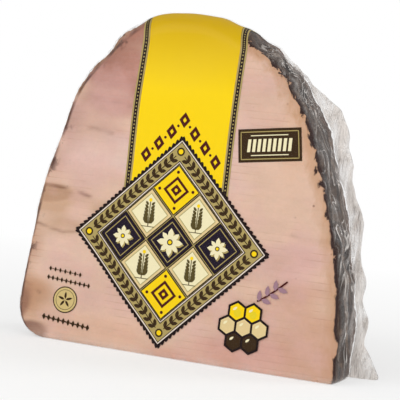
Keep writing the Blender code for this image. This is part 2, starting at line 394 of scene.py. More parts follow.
# %% [markdown]
# ## The meat
#
# The slicer leaves each slice a hair in front of or behind its neighbours, with a fine groove
# between them. The rows of the mesh therefore follow the slices: five to a slice, close
# together at its cut. The crust adds fine crags to the rind.

# %% Rows and relief of the slices
SLICES = 49
ROWS_IN_SLICE = np.array((0.0, 0.11, 0.36, 0.64, 0.89))
SLICED_SHARE, CREST_SHARES = 0.30, np.arange(0.28, 0.03, -0.02)
MEAT_INSET = 0.00062
MEAT_BASE = 0.0004
SLICE_STAGGER = 0.00006
GROOVE_DEPTH, GROOVE_WIDTH = 0.00007, 0.07
MEAT_PEAK = 0.00015
CRAG_HEIGHT, CRAG_SIZES = 0.00022, (0.0050, 0.0050, 0.0034)
FACE_COLUMNS, RIND_COLUMNS = 205, 140
BASE_RINGS = np.array((0.96, 0.85, 0.70, 0.52, 0.34, 0.16))


def height_at_share(shares):
    """The height where this share of the rear depth is left: the section's formula undone."""
    return HAM_HEIGHT * (1.0 - shares ** DEPTH_POWER) ** (1.0 / HEIGHT_POWER)


sliced_height = float(height_at_share(SLICED_SHARE))
slice_thickness = sliced_height / SLICES
slice_rows = (np.arange(SLICES)[:, None] + ROWS_IN_SLICE).ravel() * slice_thickness
meat_heights = np.concatenate((slice_rows, height_at_share(CREST_SHARES)))
stagger = np.random.default_rng(SEED + 5).uniform(-1.0, 1.0, SLICES + 1)


def slice_relief(z):
    """Each slice's own stagger, less a groove at its cut; both fade out at the crest."""
    number = np.clip(np.floor(z / slice_thickness).astype(int), 0, SLICES)
    within = z / slice_thickness - number
    groove = np.exp(-(np.minimum(within, 1.0 - within) / GROOVE_WIDTH) ** 2)
    fade = np.minimum(1.0, section_depth(z) / RELIEF_END)
    return (SLICE_STAGGER * stagger[number] - GROOVE_DEPTH * groove) * fade


# %% Mesh of the meat
front, back = front_and_back(meat_heights, FACE_COLUMNS + 1, RIND_COLUMNS + 1)
meat_loops = np.concatenate((front[:, :-1], back[:, :-1]), axis=1)
meat_rind = rind_share(meat_loops)
meat_rise = meat_loops[..., 2]
crag = CRAG_HEIGHT * ripple(meat_loops, CRAG_SIZES, SEED + 6) * meat_rind
fine_relief = slice_relief(meat_rise) + crag * smooth_step(0.0, RELIEF_START, meat_rise)
meat_lift = pack_relief(meat_loops) - MEAT_INSET + np.minimum(fine_relief, MEAT_PEAK)
meat_surface = meat_loops + outward(meat_loops) * meat_lift[..., None]
meat_surface[..., 2] = np.maximum(meat_surface[..., 2], MEAT_BASE)

base_middle = meat_surface[0].mean(axis=0)
rings = base_middle + (meat_surface[0] - base_middle) * BASE_RINGS[::-1, None, None]
crest_x, crest_y = float(middle_line(HAM_HEIGHT)), float(widest_line(HAM_HEIGHT))
crest_point = np.array((crest_x, crest_y, HAM_HEIGHT - MEAT_INSET))
stack = np.concatenate((rings, meat_surface))
meat_points, meat_faces = closed_stack(stack, base_middle, crest_point)
print("slices", SLICES, "of", round(slice_thickness * 1000, 2), "mm")

# %% [markdown]
# ## The look of the meat
#
# Ham isn't one pink. Muscles, fat and smoke give it broad soft patches, with painted shade as faint
# lines in the gaps between slices. Broad patches are stored on the mesh, each one a soft oval,
# and fine grain comes from noise in the material, so it stays sharp from close by.


# %% Colours of the meat
def tone(red, green, blue):
    """A colour given as on a screen, turned into light by the curve that screens use."""
    values = np.array((red, green, blue)) / 255.0
    light = np.where(values <= 0.04045, values / 12.92, ((values + 0.055) / 1.055) ** 2.4)
    return (*light.tolist(), 1.0)


PALE_MEAT = tone(216, 181, 159)
SOFT, CRISP = (1.6, 0.2), (1.2, 0.7)
MEAT_PATCHES = (
    ((-0.046, 0.134), (0.028, 0.021), SOFT, 0.95, tone(158, 108, 93)),
    ((-0.036, 0.145), (0.016, 0.012), SOFT, 0.80, tone(162, 112, 94)),
    ((-0.034, 0.122), (0.014, 0.020), SOFT, 0.70, tone(182, 128, 110)),
    ((-0.056, 0.106), (0.020, 0.012), SOFT, 0.60, tone(200, 160, 146)),
    ((-0.054, 0.088), (0.026, 0.010), SOFT, 0.70, tone(220, 190, 178)),
    ((-0.066, 0.101), (0.009, 0.010), SOFT, 0.65, tone(176, 138, 124)),
    ((-0.070, 0.085), (0.007, 0.010), SOFT, 0.60, tone(188, 148, 126)),
    ((-0.064, 0.0615), (0.024, 0.0112), CRISP, 0.85, tone(194, 156, 127)),
    ((-0.072, 0.069), (0.012, 0.0042), CRISP, 0.60, tone(172, 132, 104)),
    ((-0.062, 0.040), (0.018, 0.014), SOFT, 0.60, tone(219, 186, 167)),
    ((-0.076, 0.016), (0.010, 0.014), SOFT, 0.85, tone(184, 138, 104)),
    ((-0.083, 0.034), (0.009, 0.026), SOFT, 0.70, tone(180, 134, 102)),
    ((-0.081, 0.013), (0.007, 0.011), CRISP, 0.80, tone(138, 96, 76)),
    ((-0.0740, 0.0040), (0.0100, 0.0050), CRISP, 0.80, tone(120, 84, 72)),
    ((-0.035, 0.006), (0.030, 0.009), SOFT, 0.60, tone(216, 172, 147)),
    ((0.030, 0.150), (0.018, 0.009), SOFT, 0.80, tone(206, 162, 128)),
    ((0.030, 0.128), (0.014, 0.016), SOFT, 0.65, tone(205, 166, 148)),
    ((0.020, 0.098), (0.010, 0.014), SOFT, 0.45, tone(224, 194, 184)),
    ((-0.026, 0.092), (0.016, 0.010), SOFT, 0.45, tone(224, 194, 184)),
    ((0.056, 0.118), (0.012, 0.026), SOFT, 0.60, tone(206, 164, 134)),
    ((0.050, 0.051), (0.022, 0.012), SOFT, 0.75, tone(207, 167, 157)),
    ((0.062, 0.012), (0.040, 0.026), SOFT, 0.80, tone(197, 153, 128)),
    ((0.024, 0.003), (0.034, 0.009), SOFT, 0.70, tone(202, 150, 132)),
)
PATCH_WAVER, WAVER_SIZES = 0.35, (0.030, 0.030, 0.014)
SEAM_TONE = tone(118, 78, 56)
SEAMS = (
    (0.0009, 0.75, ((-0.0745, 0.0728), (-0.0650, 0.0722), (-0.0580, 0.0716), (-0.0500, 0.0694))),
    (0.0007, 0.55, ((-0.0780, 0.0545), (-0.0685, 0.0525), (-0.0620, 0.0514), (-0.0550, 0.0527))),
    (0.0008, 0.45, ((-0.0800, 0.0255), (-0.0745, 0.0240), (-0.0705, 0.0215))),
    (0.0012, 0.35, ((-0.0600, 0.1165), (-0.0480, 0.1160), (-0.0345, 0.1140))),
    (0.0012, 0.30, ((-0.0610, 0.1010), (-0.0520, 0.1022), (-0.0420, 0.1005))),
    (0.0010, 0.30, ((0.0530, 0.0640), (0.0640, 0.0622), (0.0720, 0.0640))),
)
SEAM_SHARE, SEAM_SIZES = 0.6, (0.010, 0.010, 0.004)
LEFT_MARGIN, LEFT_MARGIN_START = 0.0060, (0.004, 0.030)
# Painted shade along the face's left edge where it turns away, heavier at the lower corner.
LEFT_SHADE_RANGE, LEFT_SHADE_SHARE, LEFT_SHADE_SIZES = (-0.0028, -0.0008), 0.55, (0.012, 0.012, 0.009)
CORNER_SHADE_HEIGHTS, CORNER_SHADE_GAIN = (0.046, 0.020), 0.55


def line_distance(places, line):
    """How far each place is from a line of straight parts: the least of its parts' distances."""
    least = np.full(len(places), np.inf)
    for start, end in zip(np.array(line[:-1]), np.array(line[1:])):
        way, seen_from = end - start, places - start
        along = np.clip(seen_from @ way / (way @ way), 0.0, 1.0)[:, None]
        least = np.minimum(least, np.linalg.norm(seen_from - along * way, axis=1))
    return least


def broken_share(points, steady, sizes, seed):
    """A steady share of a line, broken up by half of smooth noise and kept from 0 to 1."""
    return np.clip(steady + 0.5 * ripple(points, sizes, seed), 0.0, 1.0)


def patch_colours(points):
    """Pale meat, soft ovals mixed in with edges pushed about by noise, and thin broken seams."""
    points = points - (DRAWING_ZERO, 0.0, 0.0)
    colours = np.broadcast_to(PALE_MEAT, (len(points), 4)).copy()
    waver = PATCH_WAVER * ripple(points, WAVER_SIZES, SEED + 8)
    for (middle_x, middle_z), (reach_x, reach_z), edge, strength, colour in MEAT_PATCHES:
        across, up = (points[:, 0] - middle_x) / reach_x, (points[:, 2] - middle_z) / reach_z
        share = strength * smooth_step(*edge, np.hypot(across, up) + waver)
        colours += (np.array(colour) - colours) * share[:, None]
    broken = broken_share(points, SEAM_SHARE, SEAM_SIZES, SEED + 12)
    for width, strength, line in SEAMS:
        share = strength * broken * np.exp(-(line_distance(points[:, [0, 2]], line) / width) ** 2)
        colours += (np.array(SEAM_TONE) - colours) * share[:, None]
    return colours


def left_share(points):
    """0 right of the middle, rising to 1 on the left, where bare meat runs on past the edge."""
    return smooth_step(*LEFT_MARGIN_START, middle_line(points[:, 2]) - points[:, 0])


def rim_place(points):
    """Metres from the face's edge, above zero on the rind, less a margin of meat on the left."""
    x, y, z = points.T
    return rind_distance(x, y, z) - face_distance(x, y, z) - LEFT_MARGIN * left_share(points)


def left_edge_shade(points):
    """Painted shade: a thin dark line where the face's left edge turns away, broken by smooth noise."""
    place = rim_place(points) + LEFT_MARGIN * left_share(points)
    steady = LEFT_SHADE_SHARE + CORNER_SHADE_GAIN * smooth_step(*CORNER_SHADE_HEIGHTS, points[..., 2])
    broken = broken_share(points, steady, LEFT_SHADE_SIZES, SEED + 9)
    return left_share(points) * smooth_step(*LEFT_SHADE_RANGE, place) * broken


def far_behind(points):
    """0 in front of the flaps, rising to 1 on the back: the share of the rear depth reached."""
    z = points[..., 2]
    depth = REAR_DEPTH * np.maximum(section_depth(z), LEAST_DEPTH)
    return smooth_step(*BACK_START, (points[..., 1] - widest_line(z)) / depth)


# %% [markdown]
# ## Nodes that the finishes share
#
# Each kind of node has one short function. It takes numbers or the outputs of other nodes, and
# gives its own output back, so that a finish reads like a sum. Fine grain is wanted on the meat
# and on every ink, so it is a node group: noise makes a colour a little lighter and darker.


# %% Short functions for nodes
def fill(tree, node, inputs):
    """Give each named or numbered input of a node a value, or link another node's output to it."""
    for socket, value in inputs.items():
        if isinstance(value, bpy.types.NodeSocket):
            tree.links.new(value, node.inputs[socket])
        else:
            node.inputs[socket].default_value = value
    return node


def new_node(tree, kind, inputs, **settings):
    """A node with its settings and its inputs filled."""
    node = tree.nodes.new("ShaderNode" + kind)
    for name, value in settings.items():
        setattr(node, name, value)
    return fill(tree, node, inputs)


def object_place(tree):
    """The place in the shared frame."""
    return new_node(tree, "TexCoord", {}).outputs["Object"]


def height_of(tree, place):
    """The third number of a place."""
    return new_node(tree, "SeparateXYZ", {0: place}).outputs["Z"]


def stored(tree, name, output="Fac"):
    """What a piece's mesh stores under a name."""
    return new_node(tree, "Attribute", {}, attribute_name=name).outputs[output]


def maths(tree, operation, first, second=0.0, clamp=False):
    """One sum on two numbers."""
    node = new_node(tree, "Math", {0: first, 1: second}, operation=operation, use_clamp=clamp)
    return node.outputs[0]


def scaled(tree, colour, share):
    """A colour times a number."""
    return new_node(tree, "VectorMath", {0: colour, "Scale": share}, operation="SCALE").outputs[0]


def remap(tree, value, start, end, low=0.0, high=1.0):
    """A number moved in a straight line from one range to another, and kept in it."""
    ends = {"Value": value, "From Min": start, "From Max": end, "To Min": low, "To Max": high}
    return new_node(tree, "MapRange", ends).outputs["Result"]


def noise(tree, place, scale, detail=2.0, roughness=0.5, distortion=0.0, turn=(0.0, 0.0, 0.0)):
    """Smooth noise from 0 to 1; three numbers as its scale stretch it, after a turn."""
    if isinstance(scale, tuple):
        mapping = {"Vector": place, "Scale": scale, "Rotation": turn}
        place, scale = new_node(tree, "Mapping", mapping).outputs["Vector"], 1.0
    values = {"Vector": place, "Scale": scale, "Detail": detail, "Roughness": roughness,
              "Distortion": distortion}
    return new_node(tree, "TexNoise", values).outputs["Fac"]


def patchy(tree, place, noise_values, ends):
    """Noise moved to a range, which leaves patches of it."""
    return remap(tree, noise(tree, place, *noise_values), *ends)


def ramp(tree, value, stops):
    """A colour read off a ramp through (place, colour) stops."""
    node = new_node(tree, "ValToRGB", {"Fac": value})
    elements = node.color_ramp.elements
    while len(elements) < len(stops):
        elements.new(0.5)
    for element, (place, colour) in zip(elements, stops):
        element.position = place
        element.color = colour
    return node.outputs["Color"]


def mix(tree, first, second, share):
    """Two colours mixed by a share of the second."""
    return new_node(tree, "Mix", {"Factor": share, 6: first, 7: second}, data_type="RGBA").outputs[2]


def mix_shaders(tree, first, second, share):
    """Two shaders mixed by a share of the second."""
    return new_node(tree, "MixShader", {0: share, 1: first, 2: second}).outputs[0]


def new_material(name):
    """A node material with its tree and its Principled shader."""
    material = bpy.data.materials.new(name)
    material.use_nodes = True
    tree = material.node_tree
    return material, tree, tree.nodes["Principled BSDF"]


# %% The grain group
GRAIN_SOCKETS = (
    ("Colour", "NodeSocketColor", (0.8, 0.8, 0.8, 1.0)), ("Scale", "NodeSocketFloat", 400.0),
    ("Amount", "NodeSocketFloat", 0.1), ("Stretch", "NodeSocketVector", (1.0, 1.0, 1.0)),
)


def grain_group():
    """Colour times one plus amount times noise about its middle."""
    group = bpy.data.node_groups.new("fine_grain", "ShaderNodeTree")
    for name, kind, value in GRAIN_SOCKETS:
        group.interface.new_socket(name, in_out="INPUT", socket_type=kind).default_value = value
    group.interface.new_socket("Colour", in_out="OUTPUT", socket_type="NodeSocketColor")
    given = group.nodes.new("NodeGroupInput").outputs
    stretched = {0: object_place(group), 1: given["Stretch"]}
    place = new_node(group, "VectorMath", stretched, operation="MULTIPLY").outputs[0]
    centred = maths(group, "SUBTRACT", noise(group, place, given["Scale"], 3.0, 0.6), 0.5)
    gain = maths(group, "ADD", maths(group, "MULTIPLY", centred, given["Amount"]), 1.0)
    fill(group, group.nodes.new("NodeGroupOutput"), {"Colour": scaled(group, given["Colour"], gain)})
    return group


fine_grain = grain_group()


def grain(tree, colour, scale, amount, stretch=(1.0, 1.0, 1.0)):
    """A colour with the shared grain on it."""
    values = {"Colour": colour, "Scale": scale, "Amount": amount, "Stretch": stretch}
    return new_node(tree, "Group", values, node_tree=fine_grain).outputs["Colour"]


# %% [markdown]
# ### The finish of the meat
#
# Broad patches with blush and grain, painted shade in the slice gaps, a stained left margin with
# a painted shade line where its edge turns away, and specks near the rim make the face. Streaks
# in front, warm clouds behind and painted shade in the slice gaps make the rind. A ragged dark
# crust, like torn hooks near the crest, lies where the two meet.

# %% Material of the meat
# SLICE_GAP_SHADE is painted shade in the gaps between slices on the face; CRUST_AND_GAP_SHADE is the
# crust's own tone, also painted as shade in the slice gaps on the rind.
CRUST_AND_GAP_SHADE, SLICE_GAP_SHADE, BLUSH = tone(44, 19, 15), tone(172, 128, 104), tone(212, 168, 162)
# STAIN_AND_SHADE is the stains' tone on the left margin and also the painted shade along the left edge.
SPECK, STAIN_AND_SHADE, SMOKE_TINT = tone(96, 56, 46), tone(74, 44, 38), tone(184, 138, 98)
RIND_TONES = ((0.34, tone(26, 16, 12)), (0.50, tone(60, 43, 33)), (0.66, tone(104, 84, 68)))
BACK_TONES = ((0.34, tone(26, 16, 12)), (0.48, tone(104, 58, 36)), (0.66, tone(148, 108, 78)))
# RIND_GAP_SHADE: how far the painted shade darkens the slice gaps on the rind.
BACK_WARM_SHARE, SLICE_TONE_SHARE, RIND_GAP_SHADE = 0.75, 0.16, 0.55

# Noises: scale, detail, roughness, distortion and turn
BLUSH_NOISE, GAP_SHADE_NOISE, CLUSTER_NOISE = (32.0, 4.0, 0.6), (55.0,), (70.0, 1.0)
STAIN_NOISE, SMOKE_NOISE = (105.0, 5.0, 0.7), (34.0, 5.0, 0.62)
FLOW_NOISE = ((240.0, 240.0, 52.0), 4.0, 0.55, 0.6)
HOOK_NOISE = ((210.0, 210.0, 90.0), 4.0, 0.60, 0.7, (0.0, 0.6, 0.0))
MEAT_GRAINS = ((58.0, 0.26, (1.0, 1.0, 1.5)), (95.0, 0.09, (0.6, 0.6, 2.8)), (900.0, 0.10))
SPECK_SCALE = 210.0

# Ranges: from and to, then what they become; places across the rim are in metres
# GAP_SHADE_RANGE and GAP_SHADE_RIM_RANGE shape the painted shade in the slice gaps, stronger near the
# right rim.
BLUSH_RANGE, GAP_SHADE_RANGE = (0.46, 0.62, 0.0, 0.42), (0.48, 0.70, 0.0, 0.34)
GAP_SHADE_RIM_RANGE, MARGIN_RANGE = (-0.016, -0.006, 1.0, 2.4), (-0.0120, -0.0080)
STAIN_RANGE, CLUSTER_RANGE = (0.56, 0.63, 0.0, 0.85), (0.54, 0.64)
SPECK_RANGE, SPECK_RIM_RANGE = (0.06, 0.15, 1.0, 0.0), (-0.030, -0.002, 0.0, 0.8)
HOOK_RANGE, SMOKE_RANGE = (0.070, 0.115, 0.0095, 0.0200), (-0.0075, -0.0005, 0.0, 0.65)
EDGE_RANGE, RIND_RANGE = (-0.0006, 0.0003), (0.0012, 0.0040)


def face_colour(tree, place, rim, cut):
    """The cut face: each mark is mixed in where its patches, times where it belongs, say so."""
    colour = mix(tree, stored(tree, "meat_colour", "Color"), BLUSH,
                 patchy(tree, place, BLUSH_NOISE, BLUSH_RANGE))
    for values in MEAT_GRAINS:
        colour = grain(tree, colour, *values)
    # Painted shade in the gaps between slices, where cut is the stored share at each cut.
    gap_shades = maths(tree, "MULTIPLY", patchy(tree, place, GAP_SHADE_NOISE, GAP_SHADE_RANGE), cut)
    gap_shades = maths(tree, "MULTIPLY", gap_shades, remap(tree, rim, *GAP_SHADE_RIM_RANGE), True)
    colour = mix(tree, colour, SLICE_GAP_SHADE, gap_shades)
    margin = maths(tree, "MULTIPLY", remap(tree, rim, *MARGIN_RANGE), stored(tree, "left_margin"))
    stains = maths(tree, "MULTIPLY", patchy(tree, place, STAIN_NOISE, STAIN_RANGE), margin)
    colour = mix(tree, colour, STAIN_AND_SHADE, stains)
    # Painted shade along the left edge, where the face turns away.
    colour = mix(tree, colour, STAIN_AND_SHADE, stored(tree, "left_edge_shade"))
    cells = new_node(tree, "TexVoronoi", {"Vector": place, "Scale": SPECK_SCALE})
    specks = remap(tree, cells.outputs["Distance"], *SPECK_RANGE)
    specks = maths(tree, "MULTIPLY", specks, patchy(tree, place, CLUSTER_NOISE, CLUSTER_RANGE))
    specks = maths(tree, "MULTIPLY", specks, remap(tree, rim, *SPECK_RIM_RANGE))
    return mix(tree, colour, SPECK, specks)


def rind_colour(tree, place, flow, cut):
    """The rind: streaks in front and clouds behind, each slice with its tone, and painted shade in the
    gap at its cut.
    """
    clouds = ramp(tree, noise(tree, place, *SMOKE_NOISE), BACK_TONES)
    warm = maths(tree, "MULTIPLY", stored(tree, "far_behind"), BACK_WARM_SHARE)
    colour = mix(tree, ramp(tree, flow, RIND_TONES), clouds, warm)
    colour = scaled(tree, colour, stored(tree, "slice_tone"))
    return mix(tree, colour, CRUST_AND_GAP_SHADE, maths(tree, "MULTIPLY", cut, RIND_GAP_SHADE))


def meat_material():
    """The face and the rind, parted by the place across the rim plus noise as large as a hook."""
    material, tree, shader = new_material("packed_meat")
    # cut carries the painted shade in the gaps between slices.
    place, rim, cut = object_place(tree), stored(tree, "rim_place"), stored(tree, "slice_gap_shade")
    flow = noise(tree, place, *FLOW_NOISE)
    hooks = maths(tree, "SUBTRACT", noise(tree, place, *HOOK_NOISE), 0.5)
    hooks = maths(tree, "MULTIPLY", hooks, remap(tree, height_of(tree, place), *HOOK_RANGE))
    edge = maths(tree, "ADD", rim, hooks)
    face, rind = face_colour(tree, place, rim, cut), rind_colour(tree, place, flow, cut)
    face = mix(tree, face, SMOKE_TINT, remap(tree, edge, *SMOKE_RANGE))
    crust = mix(tree, CRUST_AND_GAP_SHADE, rind, remap(tree, edge, *RIND_RANGE))
    bump = new_node(tree, "Bump", {"Height": flow, "Strength": 0.45, "Distance": 0.0008})
    fill(tree, shader, {
        "Base Color": mix(tree, face, crust, remap(tree, edge, *EDGE_RANGE)),
        "Normal": bump.outputs["Normal"], "Roughness": 0.50, "Specular IOR Level": 0.25,
        "Subsurface Weight": 0.12, "Subsurface Radius": (1.0, 0.45, 0.30),
        "Subsurface Scale": 0.002,
    })
    return material


# %% The meat as a piece
CUT_SHARE = 0.02

meat_places = meat_points + FORM_SHIFT
meat = make_piece("ham_meat", meat_places, meat_faces, meat_material())
add_values(meat, "meat_colour", patch_colours(meat_points))
add_values(meat, "rim_place", rim_place(meat_points))
add_values(meat, "left_margin", left_share(meat_points))
# Painted shade along the turning left edge.
add_values(meat, "left_edge_shade", left_edge_shade(meat_points))
add_values(meat, "far_behind", far_behind(meat_points))
slice_place = meat_points[:, 2] / slice_thickness
slice_number = np.clip((slice_place + CUT_SHARE).astype(int), 0, SLICES)
add_values(meat, "slice_tone", 1.0 + SLICE_TONE_SHARE * stagger[slice_number])
# Painted shade in the gaps between slices: the rows at each cut.
at_slice_gap = np.minimum(slice_place % 1.0, 1.0 - slice_place % 1.0) < CUT_SHARE
add_values(meat, "slice_gap_shade", at_slice_gap * (slice_place > 0.5))
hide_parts("ham_pack")

# %% [markdown]
# ## The film
#
# The film is one closed skin over the meat, with the two flaps left in as thin fins. It could be
# a cloth simulation, but vacuum film doesn't hang: it follows the meat. So its loops are the
# form's own, with relief of their own, and each flap is carried out from its root, round its
# tip and back.

# %% Rows and flaps of the film
FILM_ROWS, BASE_ROWS = 170, 4
FILM_FACE_COLUMNS, FILM_RIND_COLUMNS = 150, 110
FLAP_COLUMNS = 12
FLAP_THICKNESS, FLAP_THINNING, FLAP_END = 0.0012, 0.35, 0.12
FLAP_SWAY, FLAP_SWAY_REACH = 0.0030, 0.008
FLAP_FOLDS = (0.030, 0.030, 0.026)
FLAP_OFFSET, FLAP_LEAST = 0.05, 0.0006
FLAP_SCALLOP, SCALLOP_SIZE = 0.0008, 0.011
CRUMPLE, CRUMPLE_SIZES = 0.0007, (0.009, 0.009, 0.012)
FLAP_OUTLINE = (
    (0.000, 0.0142), (0.006, 0.0108), (0.015, 0.0055), (0.024, 0.0046), (0.035, 0.0040),
    (0.050, 0.0055), (0.061, 0.0058), (0.072, 0.0055), (0.082, 0.0045), (0.092, 0.0070),
    (0.104, 0.0070), (0.114, 0.0092), (0.121, 0.0092), (0.126, 0.0066), (0.132, 0.0012),
    (0.170, 0.0008),
)
FINE_CREASE, FINE_CREASE_SIZES, FINE_CREASE_SHARPNESS = 0.00045, (0.0065, 0.0065, 0.0500), 2.6
BACK_CREASES, BAND_FADE = 0.22, (0.026, 0.036)

fin_steps = np.arange(1, FLAP_COLUMNS + 1) / (FLAP_COLUMNS + 1)
fin_shares = np.concatenate((fin_steps, [1.0], fin_steps[::-1]))
film_heights = np.concatenate((
    BASE_RADIUS * (1.0 - np.cos(np.linspace(0.0, 0.5 * math.pi, BASE_ROWS + 1)))[:-1],
    np.linspace(BASE_RADIUS, sliced_height, FILM_ROWS),
    height_at_share(CREST_SHARES),
))


def level_normals(points):
    """Unit normals in plan: the outward normal without its rise."""
    flat = outward(points) * (1.0, 1.0, 0.0)
    return flat / np.linalg.norm(flat, axis=-1, keepdims=True)


def sideways(away):
    """Level directions turned a quarter to the left."""
    return np.stack((-away[:, 1], away[:, 0], 0.0 * away[:, 0]), axis=-1)


def flap_fin(root, away, heights, seed):
    """A fin in each section: shares of its reach outwards, swayed and crumpled sideways."""
    named_heights, reaches = zip(*FLAP_OUTLINE)
    fade = np.minimum(1.0, section_depth(heights) / FLAP_END)[:, None]
    heights_only = np.column_stack((0.0 * heights, 0.0 * heights, heights))
    scallop = FLAP_SCALLOP * ripple(heights_only, (SCALLOP_SIZE,) * 3, seed + 20)
    reach = np.interp(heights, named_heights, reaches) + scallop
    reach = np.maximum(reach, FLAP_LEAST)[:, None] * fade
    sides = 0.5 * np.sign(np.arange(-FLAP_COLUMNS, FLAP_COLUMNS + 1))
    z = np.broadcast_to(heights[:, None], (len(heights), len(sides)))
    spots = np.stack((FLAP_OFFSET + fin_shares * reach, 0.0 * z, z), axis=-1)
    ease = fin_shares * np.minimum(1.0, reach / FLAP_SWAY_REACH)
    sway = FLAP_SWAY * ripple(spots, FLAP_FOLDS, seed) * ease
    crumple = CRUMPLE * ripple(spots, CRUMPLE_SIZES, seed + 10) * ease
    thick = FLAP_THICKNESS * fade * (1.0 - FLAP_THINNING * fin_shares) * sides
    out = (fin_shares * reach)[..., None] * away[:, None, :]
    return root[:, None, :] + out + (thick + sway + crumple)[..., None] * sideways(away)[:, None, :]


# %% Mesh of the film
film_front, film_back = front_and_back(film_heights, FILM_FACE_COLUMNS, FILM_RIND_COLUMNS)
roots_away = level_normals(film_front[:, [-1, 0]])
half_thick = 0.5 * FLAP_THICKNESS * np.minimum(1.0, section_depth(film_heights) / FLAP_END)


def gathered_share(points):
    """1 near the flaps, where the film gathers, less on the back, and 0 under the golden band."""
    off_band = smooth_step(*BAND_FADE, np.abs(points[..., 0]))
    return off_band * (1.0 - (1.0 - BACK_CREASES) * far_behind(points))


def fine_ridges(points):
    """1 along sharp lengthwise creases of the rind and 0 off them: one less the noise's size."""
    ridges = 1.0 - FINE_CREASE_SHARPNESS * np.abs(ripple(points, FINE_CREASE_SIZES, SEED + 7))
    low_end = smooth_step(0.0, RELIEF_START, points[..., 2])
    return np.maximum(ridges, 0.0) * rind_share(points) * low_end * gathered_share(points)


def film_lift(points):
    """The pack's relief, with the fine creases on it."""
    return pack_relief(points) + FINE_CREASE * fine_ridges(points)


front_ridges, back_ridges = fine_ridges(film_front), fine_ridges(film_back)
film_front = film_front + outward(film_front) * film_lift(film_front)[..., None]
film_back = film_back + outward(film_back) * film_lift(film_back)[..., None]
right_root, left_root = film_back[:, 0].copy(), film_back[:, -1].copy()
fins = []
for root, before, after in ((right_root, film_front, film_back), (left_root, film_back, film_front)):
    away = roots_away[:, len(fins)]
    before[:, -1] = root - half_thick[:, None] * sideways(away)
    after[:, 0] = root + half_thick[:, None] * sideways(away)
    fins.append(flap_fin(root, away, film_heights, SEED + 3 + len(fins)))
film_loops = np.concatenate((film_front, fins[0], film_back, fins[1]), axis=1)
film_loops[0, :, 2] = 0.0
film_loops[..., 2] = np.maximum(film_loops[..., 2], 0.0)
film_middle = np.array((float(middle_line(0.0)), 0.5 * REAR_DEPTH, 0.0))
film_crest = np.array((crest_x, crest_y, HAM_HEIGHT))
film_points, film_faces = closed_stack(film_loops, film_middle, film_crest)

# %% [markdown]
# ## The look of the film
#
# Clear film is mostly not there. What shows is a gloss that grows towards its edges, and a milky
# haze where it is creased or loose. So the material mixes a transparent shader with a whitish
# one by a haze stored on the mesh, and then with a glossy one by Fresnel's rule.

# %% Haze and material of the film
RIND_HAZE, FLAP_HAZE, CREASE_HAZE = 0.018, 0.54, 0.17
BASE_HAZE, BASE_HAZE_TOP = 0.15, 0.0050
FLAP_HAZE_START = (-0.10, 0.06)
FLAP_FOLD_LINES = 0.5
FLAP_CLEAR = (0.152, 0.134)
ROOT_EASE = (0.80, 0.30)
TIGHT_GLOSS, LOOSE_GLOSS = 0.25, 0.62
FILM_WHITE = tone(246, 238, 231)
CLOUD_NOISE, CLOUD_RANGE = ((170.0, 170.0, 48.0), 4.0, 0.6, 0.5), (0.34, 0.66, 0.25, 1.75)
FOLD_NOISE, FOLD_RANGE = ((150.0, 150.0, 24.0), 2.0, 0.5, 0.9), (0.018, 0.0, 0.0, 0.62)
CRINKLE_NOISE = ((340.0, 340.0, 90.0), 4.0, 0.6, 0.6)


def film_haze():
    """None on the face, a little on the rind and its creases, most on the flaps and their roots."""
    flap_gain = (FLAP_HAZE - RIND_HAZE) * smooth_step(*FLAP_CLEAR, film_heights)
    front_haze = RIND_HAZE * rind_share(film_front) + CREASE_HAZE * front_ridges
    back_haze = RIND_HAZE + CREASE_HAZE * back_ridges
    for part in (front_haze, front_haze[:, ::-1], back_haze, back_haze[:, ::-1]):
        part[:, :len(ROOT_EASE)] += np.outer(flap_gain, ROOT_EASE)
    fin = RIND_HAZE + np.outer(flap_gain, smooth_step(*FLAP_HAZE_START, fin_shares))
    base = BASE_HAZE * smooth_step(BASE_HAZE_TOP, 0.0, film_heights)[:, None]
    return np.concatenate((front_haze, fin, back_haze, fin), axis=1) + base


def fold_zone():
    """Where the film may be folded: the rind as far as it is gathered, and half on the flaps."""
    front_zone, back_zone = (
        rind_share(part) * gathered_share(part) * smooth_step(0.0, RELIEF_START, part[..., 2])
        for part in (film_front, film_back)
    )
    fin = FLAP_FOLD_LINES * np.outer(smooth_step(*FLAP_CLEAR, film_heights), np.ones_like(fin_shares))
    return np.concatenate((front_zone, fin, back_zone, fin), axis=1)


